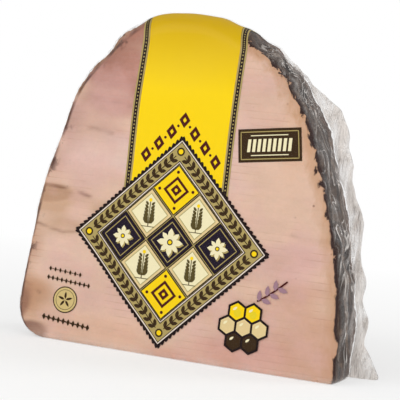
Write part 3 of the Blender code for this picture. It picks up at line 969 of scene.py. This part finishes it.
def film_material():
    """Transparent, then milky by the stored haze and by folds, then glossy by Fresnel's rule."""
    material, tree, milk = new_material("clear_film")
    place, haze, loose = object_place(tree), stored(tree, "film_haze"), stored(tree, "fold_zone")
    clouds = maths(tree, "MULTIPLY", haze, patchy(tree, place, CLOUD_NOISE, CLOUD_RANGE), True)
    off_fold = maths(tree, "ABSOLUTE", maths(tree, "SUBTRACT", noise(tree, place, *FOLD_NOISE), 0.5))
    folds = maths(tree, "MULTIPLY", remap(tree, off_fold, *FOLD_RANGE), loose)
    crinkle = maths(tree, "MULTIPLY", noise(tree, place, *CRINKLE_NOISE), haze)
    bump = new_node(tree, "Bump", {"Height": crinkle, "Strength": 1.0, "Distance": 0.006})
    normal = bump.outputs["Normal"]
    fill(tree, milk, {"Base Color": FILM_WHITE, "Roughness": 0.35, "Normal": normal})
    clear = new_node(tree, "BsdfTransparent", {}).outputs[0]
    hazy = mix_shaders(tree, clear, milk.outputs[0], maths(tree, "ADD", clouds, folds, True))
    outer = maths(tree, "SUBTRACT", 1.0, new_node(tree, "NewGeometry", {}).outputs["Backfacing"])
    gloss_share = maths(tree, "MULTIPLY", outer, remap(tree, loose, 0.0, 1.0, TIGHT_GLOSS, LOOSE_GLOSS))
    edge = new_node(tree, "Fresnel", {"IOR": 1.28, "Normal": normal}).outputs[0]
    gloss = new_node(tree, "BsdfGlossy", {"Roughness": 0.22, "Normal": normal}).outputs[0]
    surface = mix_shaders(tree, hazy, gloss, maths(tree, "MULTIPLY", edge, gloss_share))
    fill(tree, tree.nodes["Material Output"], {"Surface": surface})
    return material


film = make_piece("film_bag", film_points + FORM_SHIFT, film_faces, film_material())
add_values(film, "film_haze", np.append(film_haze().ravel(), (BASE_HAZE, RIND_HAZE)))
add_values(film, "fold_zone", np.append(fold_zone().ravel(), (0.0, 0.0)))

# %% [markdown]
# ## The print
#
# The label is printed on the inside of the film, so it lies between film and meat and bends
# with them. It could be painted by a material, but then every edge is a formula at each pixel.
# Here each printed shape is a flat drawing in millimetres, laid on the pack as a thin sheet.
# Later inks lie a hair nearer to the film, in numbered layers, as they do on a press.

# %% Laying flat drawings on the pack
MM = 0.001
LAYER_STEP = 0.000025
DEEPEST_LAYER = 0.00043
FACE_SEARCH, BACK_SEARCH = (0.012, 0.024), 0.072
WRAP_MIDDLE = (0.030, 0.085)
WRAP_REACH = 0.13
WRAP_TURNS = (-0.55, math.pi + 0.30)
BAND_MIDDLE = -0.0065
BAND_LEAN, BAND_LEAN_WAY = 0.0046, (0.144, 0.174)


def layer_depth(layer):
    """How far under the film a numbered ink layer lies."""
    return DEEPEST_LAYER - LAYER_STEP * layer


def lifted(form_points, depth):
    """Points of the form moved out by the pack's relief less a depth, into the shared frame."""
    lift = pack_relief(form_points) - depth
    return form_points + outward(form_points) * lift[:, None] + FORM_SHIFT


def on_face(places, depth):
    """Places (x, z) on the cut face: y is halved between a place in front and one inside."""
    x, z = places[:, 0] + DRAWING_ZERO, places[:, 1]
    face = face_line(x, z)
    y = halved(lambda y: ham_distance(x, y, z) >= 0.0, face - FACE_SEARCH[0], face + FACE_SEARCH[1])
    return lifted(np.column_stack((x, y, z)), depth)


def on_back(places, depth):
    """Places (u, z) on the back, with u to the right as seen from behind, found the same way."""
    x, z = DRAWING_ZERO - places[:, 0], places[:, 1]
    widest = widest_line(z)
    y = halved(lambda y: ham_distance(x, y, z) < 0.0, widest, widest + BACK_SEARCH)
    return lifted(np.column_stack((x, y, z)), depth)


def around_crest(x, angle):
    """Points where rays from a line inside meet the pack; angle 0 looks forward, a quarter up."""
    def place(reach):
        return x, WRAP_MIDDLE[0] - reach * np.cos(angle), WRAP_MIDDLE[1] + reach * np.sin(angle)

    reach = halved(lambda reach: ham_distance(*place(reach)) < 0.0, 0.0 * x, 0.0 * x + WRAP_REACH)
    return np.column_stack(place(reach))


wrap_angles = np.linspace(*WRAP_TURNS, 900)
wrap_line = around_crest(np.full(len(wrap_angles), BAND_MIDDLE + DRAWING_ZERO), wrap_angles)
wrap_steps = np.linalg.norm(np.diff(wrap_line, axis=0), axis=1)
wrap_lengths = np.concatenate(([0.0], np.cumsum(wrap_steps)))
wrap_lengths -= np.interp(0.0, wrap_angles, wrap_lengths) - WRAP_MIDDLE[1]
print("band's way over the crest, metres:", np.round(wrap_lengths[[0, -1]], 3))


def on_band(places, depth):
    """Places (x, s): s is z on the face, then the way over the crest, where x drifts left."""
    angle = np.interp(places[:, 1], wrap_lengths, wrap_angles)
    drift = BAND_LEAN * smooth_step(*BAND_LEAN_WAY, places[:, 1])
    return lifted(around_crest(places[:, 0] + DRAWING_ZERO - drift, angle), depth)


# %% Flat shapes
sheets = {}


def print_shape(ink, layer, shape, surface=on_face):
    """Lay one shape, drawn in millimetres, on the pack and keep it for its ink's piece."""
    places, triangles = shape
    first, second, third = (places[triangles[:, k]] for k in range(3))
    one, two = second - first, third - first
    clockwise = one[:, 0] * two[:, 1] - one[:, 1] * two[:, 0] < 0.0
    triangles = np.where(clockwise[:, None], triangles[:, ::-1], triangles)
    sheets.setdefault(ink, []).append((surface(places * MM, layer_depth(layer)), triangles))


def between(inner, outer, steps=2, closed=True):
    """Triangles between two lines with as many points: straight shares from one to the other."""
    shares = np.linspace(0.0, 1.0, steps + 1)[:, None, None]
    places = (inner + (outer - inner) * shares).reshape(-1, 2)
    quads = grid_faces(steps + 1, len(inner), closed)
    return places, np.vstack((quads[:, :3], quads[:, [0, 2, 3]]))


def filled(outline, steps=4):
    """A closed outline filled by rings that shrink to its middle, which a fan closes."""
    middle = outline.mean(axis=0)
    places, triangles = between(middle + (outline - middle) / steps, outline, steps - 1)
    place = np.arange(len(outline))
    fan = np.column_stack((place, (place + 1) % len(outline), np.full(len(outline), len(places))))
    return np.vstack((places, middle)), np.vstack((triangles, fan))


def copies(outline, places, turns=0.0, sizes=1.0):
    """Small fans of one outline at many places, each turned and sized."""
    places = np.atleast_2d(places)
    turns = np.broadcast_to(turns, len(places))[:, None]
    sizes = np.broadcast_to(sizes, len(places))[:, None]
    x = (outline[:, 0] * np.cos(turns) - outline[:, 1] * np.sin(turns)) * sizes
    z = (outline[:, 0] * np.sin(turns) + outline[:, 1] * np.cos(turns)) * sizes
    points = np.stack((x, z), axis=-1) + places[:, None, :]
    count = len(outline)
    points = np.concatenate((points, places[:, None, :]), axis=1).reshape(-1, 2)
    place = np.arange(count)
    fan = np.column_stack((place, (place + 1) % count, np.full(count, count)))
    starts = np.arange(len(places))[:, None, None] * (count + 1)
    return points, (fan + starts).reshape(-1, 3)


def points_at(x, z):
    """Places from their x and z, of which one may be a single number."""
    return np.column_stack(np.broadcast_arrays(x, z))


def spokes(angles):
    """Places one away in each direction: the cosine and the sine."""
    return points_at(np.cos(angles), np.sin(angles))


def halfway(places):
    """Places in the middle between neighbours."""
    return 0.5 * (places[1:] + places[:-1])


def round_line(middle, radius, count=48):
    """A circle: even turns."""
    return middle + radius * spokes(np.linspace(0.0, math.tau, count, endpoint=False))


def dense(corners, spacing=2.0):
    """The corners of a closed line with even points added between them."""
    corners = np.asarray(corners, float)
    parts = []
    for start, end in zip(corners, np.roll(corners, -1, axis=0)):
        count = max(1, round(float(np.hypot(*(end - start))) / spacing))
        parts.append(start + (end - start) * np.arange(count)[:, None] / count)
    return np.vstack(parts)


def stroke(line, width, closed=False):
    """A drawn line: points moved half a width to both sides of its heading."""
    ahead = np.roll(line, -1, axis=0) - np.roll(line, 1, axis=0)
    if not closed:
        ahead[0], ahead[-1] = line[1] - line[0], line[-1] - line[-2]
    side = np.column_stack((-ahead[:, 1], ahead[:, 0]))
    side *= 0.5 * width / np.linalg.norm(side, axis=1)[:, None]
    return between(line - side, line + side, 1, closed)


def turned_axes(turn):
    """Directions along and upwards after a turn, as two rows."""
    return spokes(np.array((turn, turn + 0.5 * math.pi)))


def box(middle, half_width, half_height, turn=0.0):
    """A rectangle about its middle, turned."""
    corners = np.array(((-1.0, -1.0), (1.0, -1.0), (1.0, 1.0), (-1.0, 1.0)))
    return dense(middle + corners * (half_width, half_height) @ turned_axes(turn), 1.0)


def lozenge_place(turn):
    """Points round a unit lozenge; the turn counts its corners, from the right one upwards."""
    across, up = (np.abs(np.mod(turn - start, 4.0) - 2.0) - 1.0 for start in (0.0, 1.0))
    return points_at(across, up)


def lozenge(middle, reach, count=160, teeth=0, tooth=0.0):
    """A square on its corner, with teeth: its reach grows by the size of a sine."""
    turn = np.linspace(0.0, 4.0, count, endpoint=False)
    grown = reach + tooth * np.abs(np.sin(0.25 * math.pi * teeth * turn))
    return middle + lozenge_place(turn) * grown[:, None]


def lozenge_line(middle, reach, width, count=160):
    """A lozenge drawn as a line."""
    return stroke(lozenge(middle, reach, count), width, True)


def lozenge_ring(middle, inner, outer, steps=2, count=160):
    """The ground between two lozenges."""
    return between(lozenge(middle, inner, count), lozenge(middle, outer, count), steps)


LOZENGE = np.array([(-0.5, 0.0), (0.0, -0.5), (0.5, 0.0), (0.0, 0.5)])
LEAF = np.array([(-0.5, 0.0), (-0.2, -0.17), (0.2, -0.15), (0.5, 0.0), (0.2, 0.15), (-0.2, 0.17)])
DOT = round_line(np.zeros(2), 0.5, 12)

# %% [markdown]
# ### The golden band
#
# A broad yellow band climbs from behind the label, rolls over the crest and comes down the
# back. Two dark lines with pale beads edge it, and dark red lozenges follow the label's point.

# %% Golden band
LABEL_MIDDLE, LABEL_REACH = np.array((-5.8, 53.6)), 48.8
BAND_LEFT, BAND_RIGHT, BAND_COLUMNS = -29.6, 16.6, 30
BAND_START, BAND_END = 72.0, 222.0
EDGE_LINES = (("tan", 0.5, 0.6), ("dark", 1.75, 1.7), ("tan", 3.05, 0.7))
BEAD_OFFSET, BEAD_SIZE, BEAD_SPACING = 1.75, (0.65, 0.85), 1.7
GARLAND_REACH, GARLAND_STEP = LABEL_REACH + 8.0, 0.104
GARLAND_SIZE, GARLAND_EYE, GARLAND_DOT = (5.6, 7.4), (1.9, 2.6), 1.3

band_rows = np.arange(BAND_START, BAND_END, 1.0)
left_side, right_side = points_at(BAND_LEFT, band_rows), points_at(BAND_RIGHT, band_rows)
print_shape("yellow", 0, between(left_side, right_side, BAND_COLUMNS, False), on_band)
for ink, offset, width in EDGE_LINES:
    print_shape(ink, 0, stroke(left_side - (offset, 0.0), width), on_band)
    print_shape(ink, 0, stroke(right_side + (offset, 0.0), width), on_band)
bead_rows = np.arange(BAND_START, BAND_END - 1.0, BEAD_SPACING)
for edge in (BAND_LEFT - BEAD_OFFSET, BAND_RIGHT + BEAD_OFFSET):
    print_shape("tan", 1, copies(DOT * BEAD_SIZE, points_at(edge, bead_rows)), on_band)

garland = LABEL_MIDDLE + GARLAND_REACH * lozenge_place(1.0 + GARLAND_STEP * np.arange(-3, 4))
print_shape("maroon", 1, copies(LOZENGE * GARLAND_SIZE, garland))
print_shape("yellow", 2, copies(LOZENGE * GARLAND_EYE, garland))
print_shape("maroon", 1, copies(DOT * GARLAND_DOT, halfway(garland)))

# %% [markdown]
# ### The label
#
# The label is a large lozenge with a dark toothed rim and a tan border of leaves. Nine smaller
# lozenges fill it as in a patchwork quilt: dark ones with flowers across the middle, golden
# ones above and below, and cream ones with sprigs between them.

# %% Rim and border of leaves
TEETH, TOOTH, TOOTH_POINTS = 112, 1.3, 8
RIM_INNER, RIM_LINE, RIM_LINE_WIDTH = 45.8, 47.1, 0.55
BORDER_OUTER, BORDER_INNER = 46.2, 38.0
FIELD_REACH, FIELD_LINE, FIELD_LINE_WIDTH = 36.2, 37.1, 0.45
STEM_WIDTH, STEM_SHARES = 0.45, np.linspace(0.05, 0.95, 40)
BORDER_LEAF, LEAF_SHARES = (3.8, 5.4), np.linspace(0.085, 0.915, 14)
LEAF_LEAN, LEAF_SPREAD = 0.62, 1.25
CORNER_DOT, CORNER_EYE = 4.0, 2.4
SIDE_HEADINGS = np.radians((135.0, 45.0, 135.0, 45.0))

teeth_line = lozenge(LABEL_MIDDLE, LABEL_REACH, TEETH * TOOTH_POINTS, TEETH, TOOTH)
print_shape("dark", 3, between(lozenge(LABEL_MIDDLE, RIM_INNER, TEETH * TOOTH_POINTS), teeth_line))
print_shape("pale", 4, lozenge_line(LABEL_MIDDLE, RIM_LINE, RIM_LINE_WIDTH))
print_shape("tan", 5, lozenge_ring(LABEL_MIDDLE, BORDER_INNER, BORDER_OUTER, 4))
print_shape("dark", 5, lozenge_ring(LABEL_MIDDLE, FIELD_REACH, BORDER_INNER))
print_shape("pale", 6, lozenge_line(LABEL_MIDDLE, FIELD_LINE, FIELD_LINE_WIDTH))

border_middle = 0.5 * (BORDER_OUTER + BORDER_INNER)
for quarter, heading in enumerate(SIDE_HEADINGS):
    stem, nodes = (LABEL_MIDDLE + border_middle * lozenge_place(quarter + shares)
                   for shares in (STEM_SHARES, LEAF_SHARES))
    print_shape("umber", 6, stroke(stem, STEM_WIDTH))
    for side in (-1.0, 1.0):
        aside = side * LEAF_SPREAD * turned_axes(heading)[1]
        leaves = copies(LEAF * BORDER_LEAF, nodes + aside, heading + side * LEAF_LEAN)
        print_shape("umber", 6, leaves)
tips = LABEL_MIDDLE + border_middle * lozenge_place(np.arange(4.0))
print_shape("umber", 6, copies(DOT * CORNER_DOT, tips))
print_shape("yellow", 7, copies(DOT * CORNER_EYE, tips))

# %% The quilt of nine lozenges
CELL_STEP, CELL_REACH, CELL_POINTS = 12.1, 11.5, 48
CELL_LINE_WIDTH, DARK_LINE = 0.5, (9.4, 0.4)
CREAM_REACH, CREAM_LINE_WIDTH = 9.3, 0.35
FIELD_RINGS, CELL_RINGS = 12, 6
CELL_INKS = ("yellow", "cream", "navy", "cream", "navy", "cream", "navy", "cream", "yellow")

print_shape("tan", 4, filled(lozenge(LABEL_MIDDLE, FIELD_REACH + 0.2), FIELD_RINGS))
columns, rows = (numbers.ravel() for numbers in np.meshgrid((-1, 0, 1), (-1, 0, 1)))
cell_places = LABEL_MIDDLE + CELL_STEP * points_at(columns - rows, columns + rows)
for cell, ink in zip(cell_places, CELL_INKS):
    print_shape(ink, 6, filled(lozenge(cell, CELL_REACH, CELL_POINTS), CELL_RINGS))
    print_shape("dark", 7, lozenge_line(cell, CELL_REACH, CELL_LINE_WIDTH, CELL_POINTS))
dark_cells, cream_cells, gold_cells = (
    [cell for cell, ink in zip(cell_places, CELL_INKS) if ink == wanted]
    for wanted in ("navy", "cream", "yellow")
)
for cell in dark_cells:
    print_shape("tan", 8, lozenge_line(cell, *DARK_LINE, CELL_POINTS))
for cell in cream_cells:
    print_shape("cream_white", 8, filled(lozenge(cell, CREAM_REACH, CELL_POINTS), CELL_RINGS))
    print_shape("olive_pale", 9, lozenge_line(cell, CREAM_REACH, CREAM_LINE_WIDTH, CELL_POINTS))

# %% Flowers in the dark lozenges
PETAL_TURNS = np.radians(np.arange(0.0, 360.0, 45.0))
PETAL, PETAL_PLACE, SHORT_PETAL = (6.2, 8.6), 3.5, 0.80
FLOWER_SIZES, FLOWER_DOT, FLOWER_EYE = (0.78, 1.0, 0.78), 2.9, 1.8
SHADOW = np.array((0.6, -0.6))

for cell, size in zip(dark_cells, FLOWER_SIZES):
    lengths = np.where(np.arange(8) % 2 == 0, 1.0, SHORT_PETAL) * size
    petals = cell + PETAL_PLACE * size * spokes(PETAL_TURNS)
    for ink, layer, offset in (("tan", 10, SHADOW), ("cream_white", 11, 0.0 * SHADOW)):
        print_shape(ink, layer, copies(LEAF * PETAL, petals + offset, PETAL_TURNS, lengths))
    print_shape("navy", 12, copies(DOT * FLOWER_DOT * size, cell))
    print_shape("yellow", 13, copies(DOT * FLOWER_EYE * size, cell))

# %% Sprigs in the cream lozenges and knots in the golden ones
SPRIG_BOTTOM, SPRIG_TOP, SPRIG_STEM = -6.2, 5.6, 0.45
SPRIG_LEAF, SPRIG_ROWS, SPRIG_SIZES = (3.9, 5.6), np.linspace(-3.4, 4.6, 6), np.linspace(1.0, 0.62, 6)
SPRIG_ASIDE, SPRIG_LEAN, SPRIG_BUD, BUD_RISE = 1.55, 0.75, 1.7, 0.6
GROUND_HALF, GROUND_WIDTH = 3.4, 0.35
KNOT_INNER, KNOT_OUTER, KNOT_MIDDLE, KNOT_EYE = 4.8, 6.5, 2.8, 1.6
KNOT_DOT, KNOT_DOT_PLACE = 1.5, 8.4

for cell in cream_cells:
    stem = cell + points_at(0.0, np.linspace(SPRIG_BOTTOM, SPRIG_TOP, 8))
    print_shape("olive", 10, stroke(stem, SPRIG_STEM))
    for side in (-1.0, 1.0):
        leaves = cell + points_at(side * SPRIG_ASIDE, SPRIG_ROWS)
        lean = 0.5 * math.pi - side * SPRIG_LEAN
        print_shape("olive", 10, copies(LEAF * SPRIG_LEAF, leaves, lean, SPRIG_SIZES))
    print_shape("yellow", 11, copies(DOT * SPRIG_BUD, cell + (0.0, SPRIG_TOP + BUD_RISE)))
    ground = cell + points_at(np.linspace(-GROUND_HALF, GROUND_HALF, 12), SPRIG_BOTTOM)
    print_shape("olive", 10, stroke(ground, GROUND_WIDTH))
for cell in gold_cells:
    print_shape("maroon", 8, lozenge_ring(cell, KNOT_INNER, KNOT_OUTER, 2, CELL_POINTS))
    print_shape("maroon", 8, filled(lozenge(cell, KNOT_MIDDLE, 32), 3))
    print_shape("yellow", 9, copies(DOT * KNOT_EYE, cell))
    knot_dots = cell + KNOT_DOT_PLACE * lozenge_place(np.arange(4.0))
    print_shape("maroon", 8, copies(DOT * KNOT_DOT, knot_dots))

# %% [markdown]
# ### Small prints
#
# At the lower right stands a little honeycomb with a sprig, at the upper right a dark ticket
# with slanting bars, and at the lower left a round seal between rows of small marks.

# %% Honeycomb and sprig
COMB_MIDDLE, COMB_CELL, COMB_EDGE, COMB_FILL = np.array((35.3, 19.8)), 4.55, 1.13, 0.86
COMB_INKS = ("yellow", "cream", "umber", "umber", "cream", "yellow", "cream")
COMB_SHINE, SHINE_OFFSET, SHINE_TURN = (2.6, 3.2), (-1.1, 1.3), 0.7
COMB_DROP, DROP_OFFSET = 3.6, (0.2, -0.6)
TWIG_START, TWIG_SPAN, TWIG_BEND, TWIG_WIDTH = np.array((40.4, 32.6)), (13.6, 10.6), 1.2, 0.8
TWIG_LEAF, TWIG_ASIDE, TWIG_LEAF_TURN, TWIG_LEAF_SPREAD = (5.0, 6.5), (-0.9, 1.7), 0.65, 0.9

hexagon = spokes(np.radians(np.arange(90.0, 450.0, 60.0)))
sixths = np.radians(np.arange(60.0, -300.0, -60.0))
ring_cells = COMB_MIDDLE + COMB_CELL * math.sqrt(3.0) * spokes(sixths)
comb = np.vstack((ring_cells, COMB_MIDDLE))
print_shape("dark", 9, copies(hexagon * (COMB_CELL * COMB_EDGE), comb))
for ink, cell in zip(COMB_INKS, comb):
    print_shape(ink, 10, copies(hexagon * (COMB_CELL * COMB_FILL), cell))
print_shape("cream_white", 11, copies(LEAF * COMB_SHINE, comb + SHINE_OFFSET, SHINE_TURN))
print_shape("honey", 11, copies(DOT * COMB_DROP, ring_cells[[0, 5]] + DROP_OFFSET))
twig_shares = np.linspace(0.0, 1.0, 16)
twig = TWIG_START + points_at(twig_shares, twig_shares ** TWIG_BEND) * TWIG_SPAN
print_shape("maroon", 9, stroke(twig, TWIG_WIDTH))
leaf_sides = np.array((1.0, -1.0, 1.0, -1.0, 1.0, -1.0))
twig_leaves = twig[[2, 4, 6, 8, 10, 12]] + np.outer(leaf_sides, TWIG_ASIDE)
leaf_turns = TWIG_LEAF_TURN + TWIG_LEAF_SPREAD * leaf_sides
print_shape("mauve", 10, copies(LEAF * TWIG_LEAF, twig_leaves, leaf_turns))

# %% Dark ticket
TICKET_MIDDLE, TICKET_TURN = np.array((37.4, 103.4)), math.radians(7.8)
TICKET_HALF, TICKET_LINE_HALF, TICKET_LINE_WIDTH = (15.2, 7.6), (13.8, 6.2), 0.42
BAR = np.array(((-0.75, -2.9), (0.75, -2.9), (1.55, 2.9), (0.05, 2.9)))
BAR_PLACES, STRIPE_PLACES, STRIPE_RISE = np.linspace(-10.2, 9.4, 9), np.linspace(-9.0, 9.0, 14), 4.5

ticket_axes = turned_axes(TICKET_TURN)
print_shape("umber", 0, filled(box(TICKET_MIDDLE, *TICKET_HALF, TICKET_TURN), 8))
ticket_line = box(TICKET_MIDDLE, *TICKET_LINE_HALF, TICKET_TURN)
print_shape("tan", 1, stroke(ticket_line, TICKET_LINE_WIDTH, True))
bars = TICKET_MIDDLE + points_at(BAR_PLACES, 0.0) @ ticket_axes
print_shape("cream_white", 1, copies(BAR, bars, TICKET_TURN))
for rise in (-STRIPE_RISE, STRIPE_RISE):
    stripe = TICKET_MIDDLE + points_at(STRIPE_PLACES, rise) @ ticket_axes
    print_shape("cream_white", 1, stroke(stripe, TICKET_LINE_WIDTH))

# %% Seal and rows of marks
SEAL, SEAL_LINES = np.array((-56.6, 19.8)), ((6.0, 0.5), (4.7, 0.22))
SEAL_PETALS, SEAL_PETAL, PETAL_REACH = np.radians(np.arange(90.0, 450.0, 72.0)), (3.6, 3.4), 2.1
MARK_ROWS = (
    ((-66.0, 33.6), (-50.4, 32.4), 7, 2.4), ((-66.6, 29.4), (-45.4, 27.8), 10, 2.5),
    ((-66.6, 10.6), (-43.0, 8.4), 10, 3.1),
)
MARK_SLIMNESS, MARK_DOT = 0.62, 0.24

print_shape("tan_pale", 0, filled(round_line(SEAL, SEAL_LINES[0][0]), 4))
for radius, width in SEAL_LINES:
    print_shape("umber", 1, stroke(round_line(SEAL, radius), width, True))
seal_flower = SEAL + PETAL_REACH * spokes(SEAL_PETALS)
print_shape("umber", 1, copies(LEAF * SEAL_PETAL, seal_flower, SEAL_PETALS))
for row_start, row_end, count, tall in MARK_ROWS:
    row = np.linspace(row_start, row_end, count)
    print_shape("umber", 0, copies(LOZENGE * (MARK_SLIMNESS * tall, tall), row))
    print_shape("umber", 0, copies(DOT * (MARK_DOT * tall), halfway(row)))

# %% [markdown]
# ### The back
#
# The photograph doesn't show the back, where such a bag has a panel of facts. It gets a plain
# cream panel with ruled lines and small marks.

# %% Back panel
PANEL_MIDDLE, PANEL_HALF, PANEL_LINE_HALF = np.array((7.0, 66.0)), (24.0, 36.0), (22.4, 34.4)
PANEL_LINE_WIDTH, RULE_WIDTH = 0.5, 0.35
RULE_PLACES, RULE_ROWS = np.linspace(-13.5, 27.5, 30), 40.0 + 6.4 * np.arange(9)
MARKS_START, MARKS_END, MARKS_SWING, MARKS_RISE = -12.0, 2.0, 8.0, 2.6
MARK_SIZE = (1.3, 1.9)

panel_line = box(PANEL_MIDDLE, *PANEL_LINE_HALF)
print_shape("cream", 2, filled(box(PANEL_MIDDLE, *PANEL_HALF), 20), on_back)
print_shape("umber", 3, stroke(panel_line, PANEL_LINE_WIDTH, True), on_back)
for rule_row in RULE_ROWS:
    print_shape("umber", 3, stroke(points_at(RULE_PLACES, rule_row), RULE_WIDTH), on_back)
    marks_end = MARKS_END + MARKS_SWING * math.sin(rule_row)
    marks = points_at(np.linspace(MARKS_START, marks_end, 7), rule_row + MARKS_RISE)
    print_shape("umber", 3, copies(LOZENGE * MARK_SIZE, marks), on_back)

# %% [markdown]
# ### Inks
#
# Printed ink on film has an even colour with a faint mottle and the gloss of the film above it.
# Each ink is the shared grain round one tone. The yellow darkens towards the crest as painted
# shade, where the band turns away from the light.

# %% Ink materials and their pieces
INK_TONES = {
    "yellow": (244, 207, 13), "maroon": (74, 20, 18), "tan": (172, 153, 94), "dark": (30, 16, 16),
    "pale": (226, 212, 196), "cream": (222, 198, 144), "olive": (84, 72, 36),
    "olive_pale": (168, 158, 104), "navy": (30, 20, 36), "cream_white": (236, 226, 184),
    "umber": (56, 38, 18), "honey": (226, 203, 40), "mauve": (156, 122, 134),
    "tan_pale": (205, 182, 122),
}
INK_GRAIN = (700.0, 0.10)
# A deeper gold, painted as shade where the band turns over the crest, between these heights.
GOLD_PAINTED_SHADE, GOLD_SHADE_HEIGHTS = tone(206, 166, 12), (0.124, 0.156)


def ink_material(name, colour):
    """Grain round one tone; for yellow, a deeper gold mixed in by height as painted shade at the crest.
    """
    material, tree, shader = new_material("ink_" + name)
    result = grain(tree, colour, *INK_GRAIN)
    if name == "yellow":
        # Painted shade: the yellow darkens with height towards the crest.
        rise = remap(tree, height_of(tree, object_place(tree)), *GOLD_SHADE_HEIGHTS)
        result = mix(tree, result, GOLD_PAINTED_SHADE, rise)
    fill(tree, shader, {"Base Color": result, "Roughness": 0.55, "Specular IOR Level": 0.1})
    return material


for ink_name, ink_sheets in sheets.items():
    counts = np.cumsum([0] + [len(points) for points, _ in ink_sheets])
    ink_points = np.vstack([points for points, _ in ink_sheets])
    ink_faces = np.vstack([triangles + start for (_, triangles), start in zip(ink_sheets, counts)])
    ink = ink_material(ink_name, tone(*INK_TONES[ink_name]))
    make_piece("print_" + ink_name, ink_points, ink_faces.tolist(), ink)

# %% [markdown]
# ## Floor and light
#
# A plain white ground, a wide soft light from the front left, a weaker one from the right for
# the streaks on the rind, and an even white surround: a packshot has almost no shadow.

# %% Floor, lights and surround
FLOOR_HALF = 60.0
FLOOR_GLOW = (0.08, 0.50, 0.55, 1.0)
FLOOR_TONE, FLOOR_GRAIN = tone(250, 250, 249), (40.0, 0.01)
WHITE = (1.0, 1.0, 1.0, 1.0)
SURROUND_LIGHT = 0.50
LIGHTS_AIM = Vector((0.0, 0.0, 0.08))
LIGHTS = (
    ("key", (-0.55, -1.10, 0.95), 0.9, 8.0),
    ("fill", (0.95, -0.85, 0.45), 0.7, 3.2),
    ("rim", (0.85, 0.65, 0.70), 0.5, 4.0),
)

floor_material, tree, shader = new_material("plain_floor")
fill(tree, shader, {"Base Color": grain(tree, FLOOR_TONE, *FLOOR_GRAIN), "Roughness": 0.9})
distance = new_node(tree, "VectorMath", {0: object_place(tree)}, operation="LENGTH").outputs["Value"]
white = new_node(tree, "Emission", {"Color": WHITE}).outputs[0]
floor_surface = mix_shaders(tree, shader.outputs[0], white, remap(tree, distance, *FLOOR_GLOW))
fill(tree, tree.nodes["Material Output"], {"Surface": floor_surface})
floor_mesh = bpy.data.meshes.new("floor")
floor_corners = [(x * FLOOR_HALF, y * FLOOR_HALF, 0.0) for x, y in ((-1, -1), (1, -1), (1, 1), (-1, 1))]
floor_mesh.from_pydata(floor_corners, [], [(0, 1, 2, 3)])
floor_mesh.materials.append(floor_material)
floor = bpy.data.objects.new("floor", floor_mesh)
bpy.context.scene.collection.objects.link(floor)

for light_name, light_place, light_size, light_power in LIGHTS:
    light_data = bpy.data.lights.new(light_name, "AREA")
    light_data.size = light_size
    light_data.energy = light_power
    light = bpy.data.objects.new(light_name, light_data)
    light.rotation_euler = (Vector(light_place) - LIGHTS_AIM).to_track_quat("Z", "Y").to_euler()
    light.location = light_place
    bpy.context.scene.collection.objects.link(light)

world = bpy.data.worlds.new("surround")
bpy.context.scene.world = world
world.use_nodes = True
tree = world.node_tree
lighting = fill(tree, tree.nodes["Background"], {"Color": WHITE, "Strength": SURROUND_LIGHT})
seen = new_node(tree, "Background", {"Color": WHITE, "Strength": 1.0})
camera_ray = new_node(tree, "LightPath", {}).outputs["Is Camera Ray"]
surround = mix_shaders(tree, lighting.outputs[0], seen.outputs[0], camera_ray)
fill(tree, tree.nodes["World Output"], {"Surface": surround})
bpy.context.scene.view_settings.view_transform = "Standard"
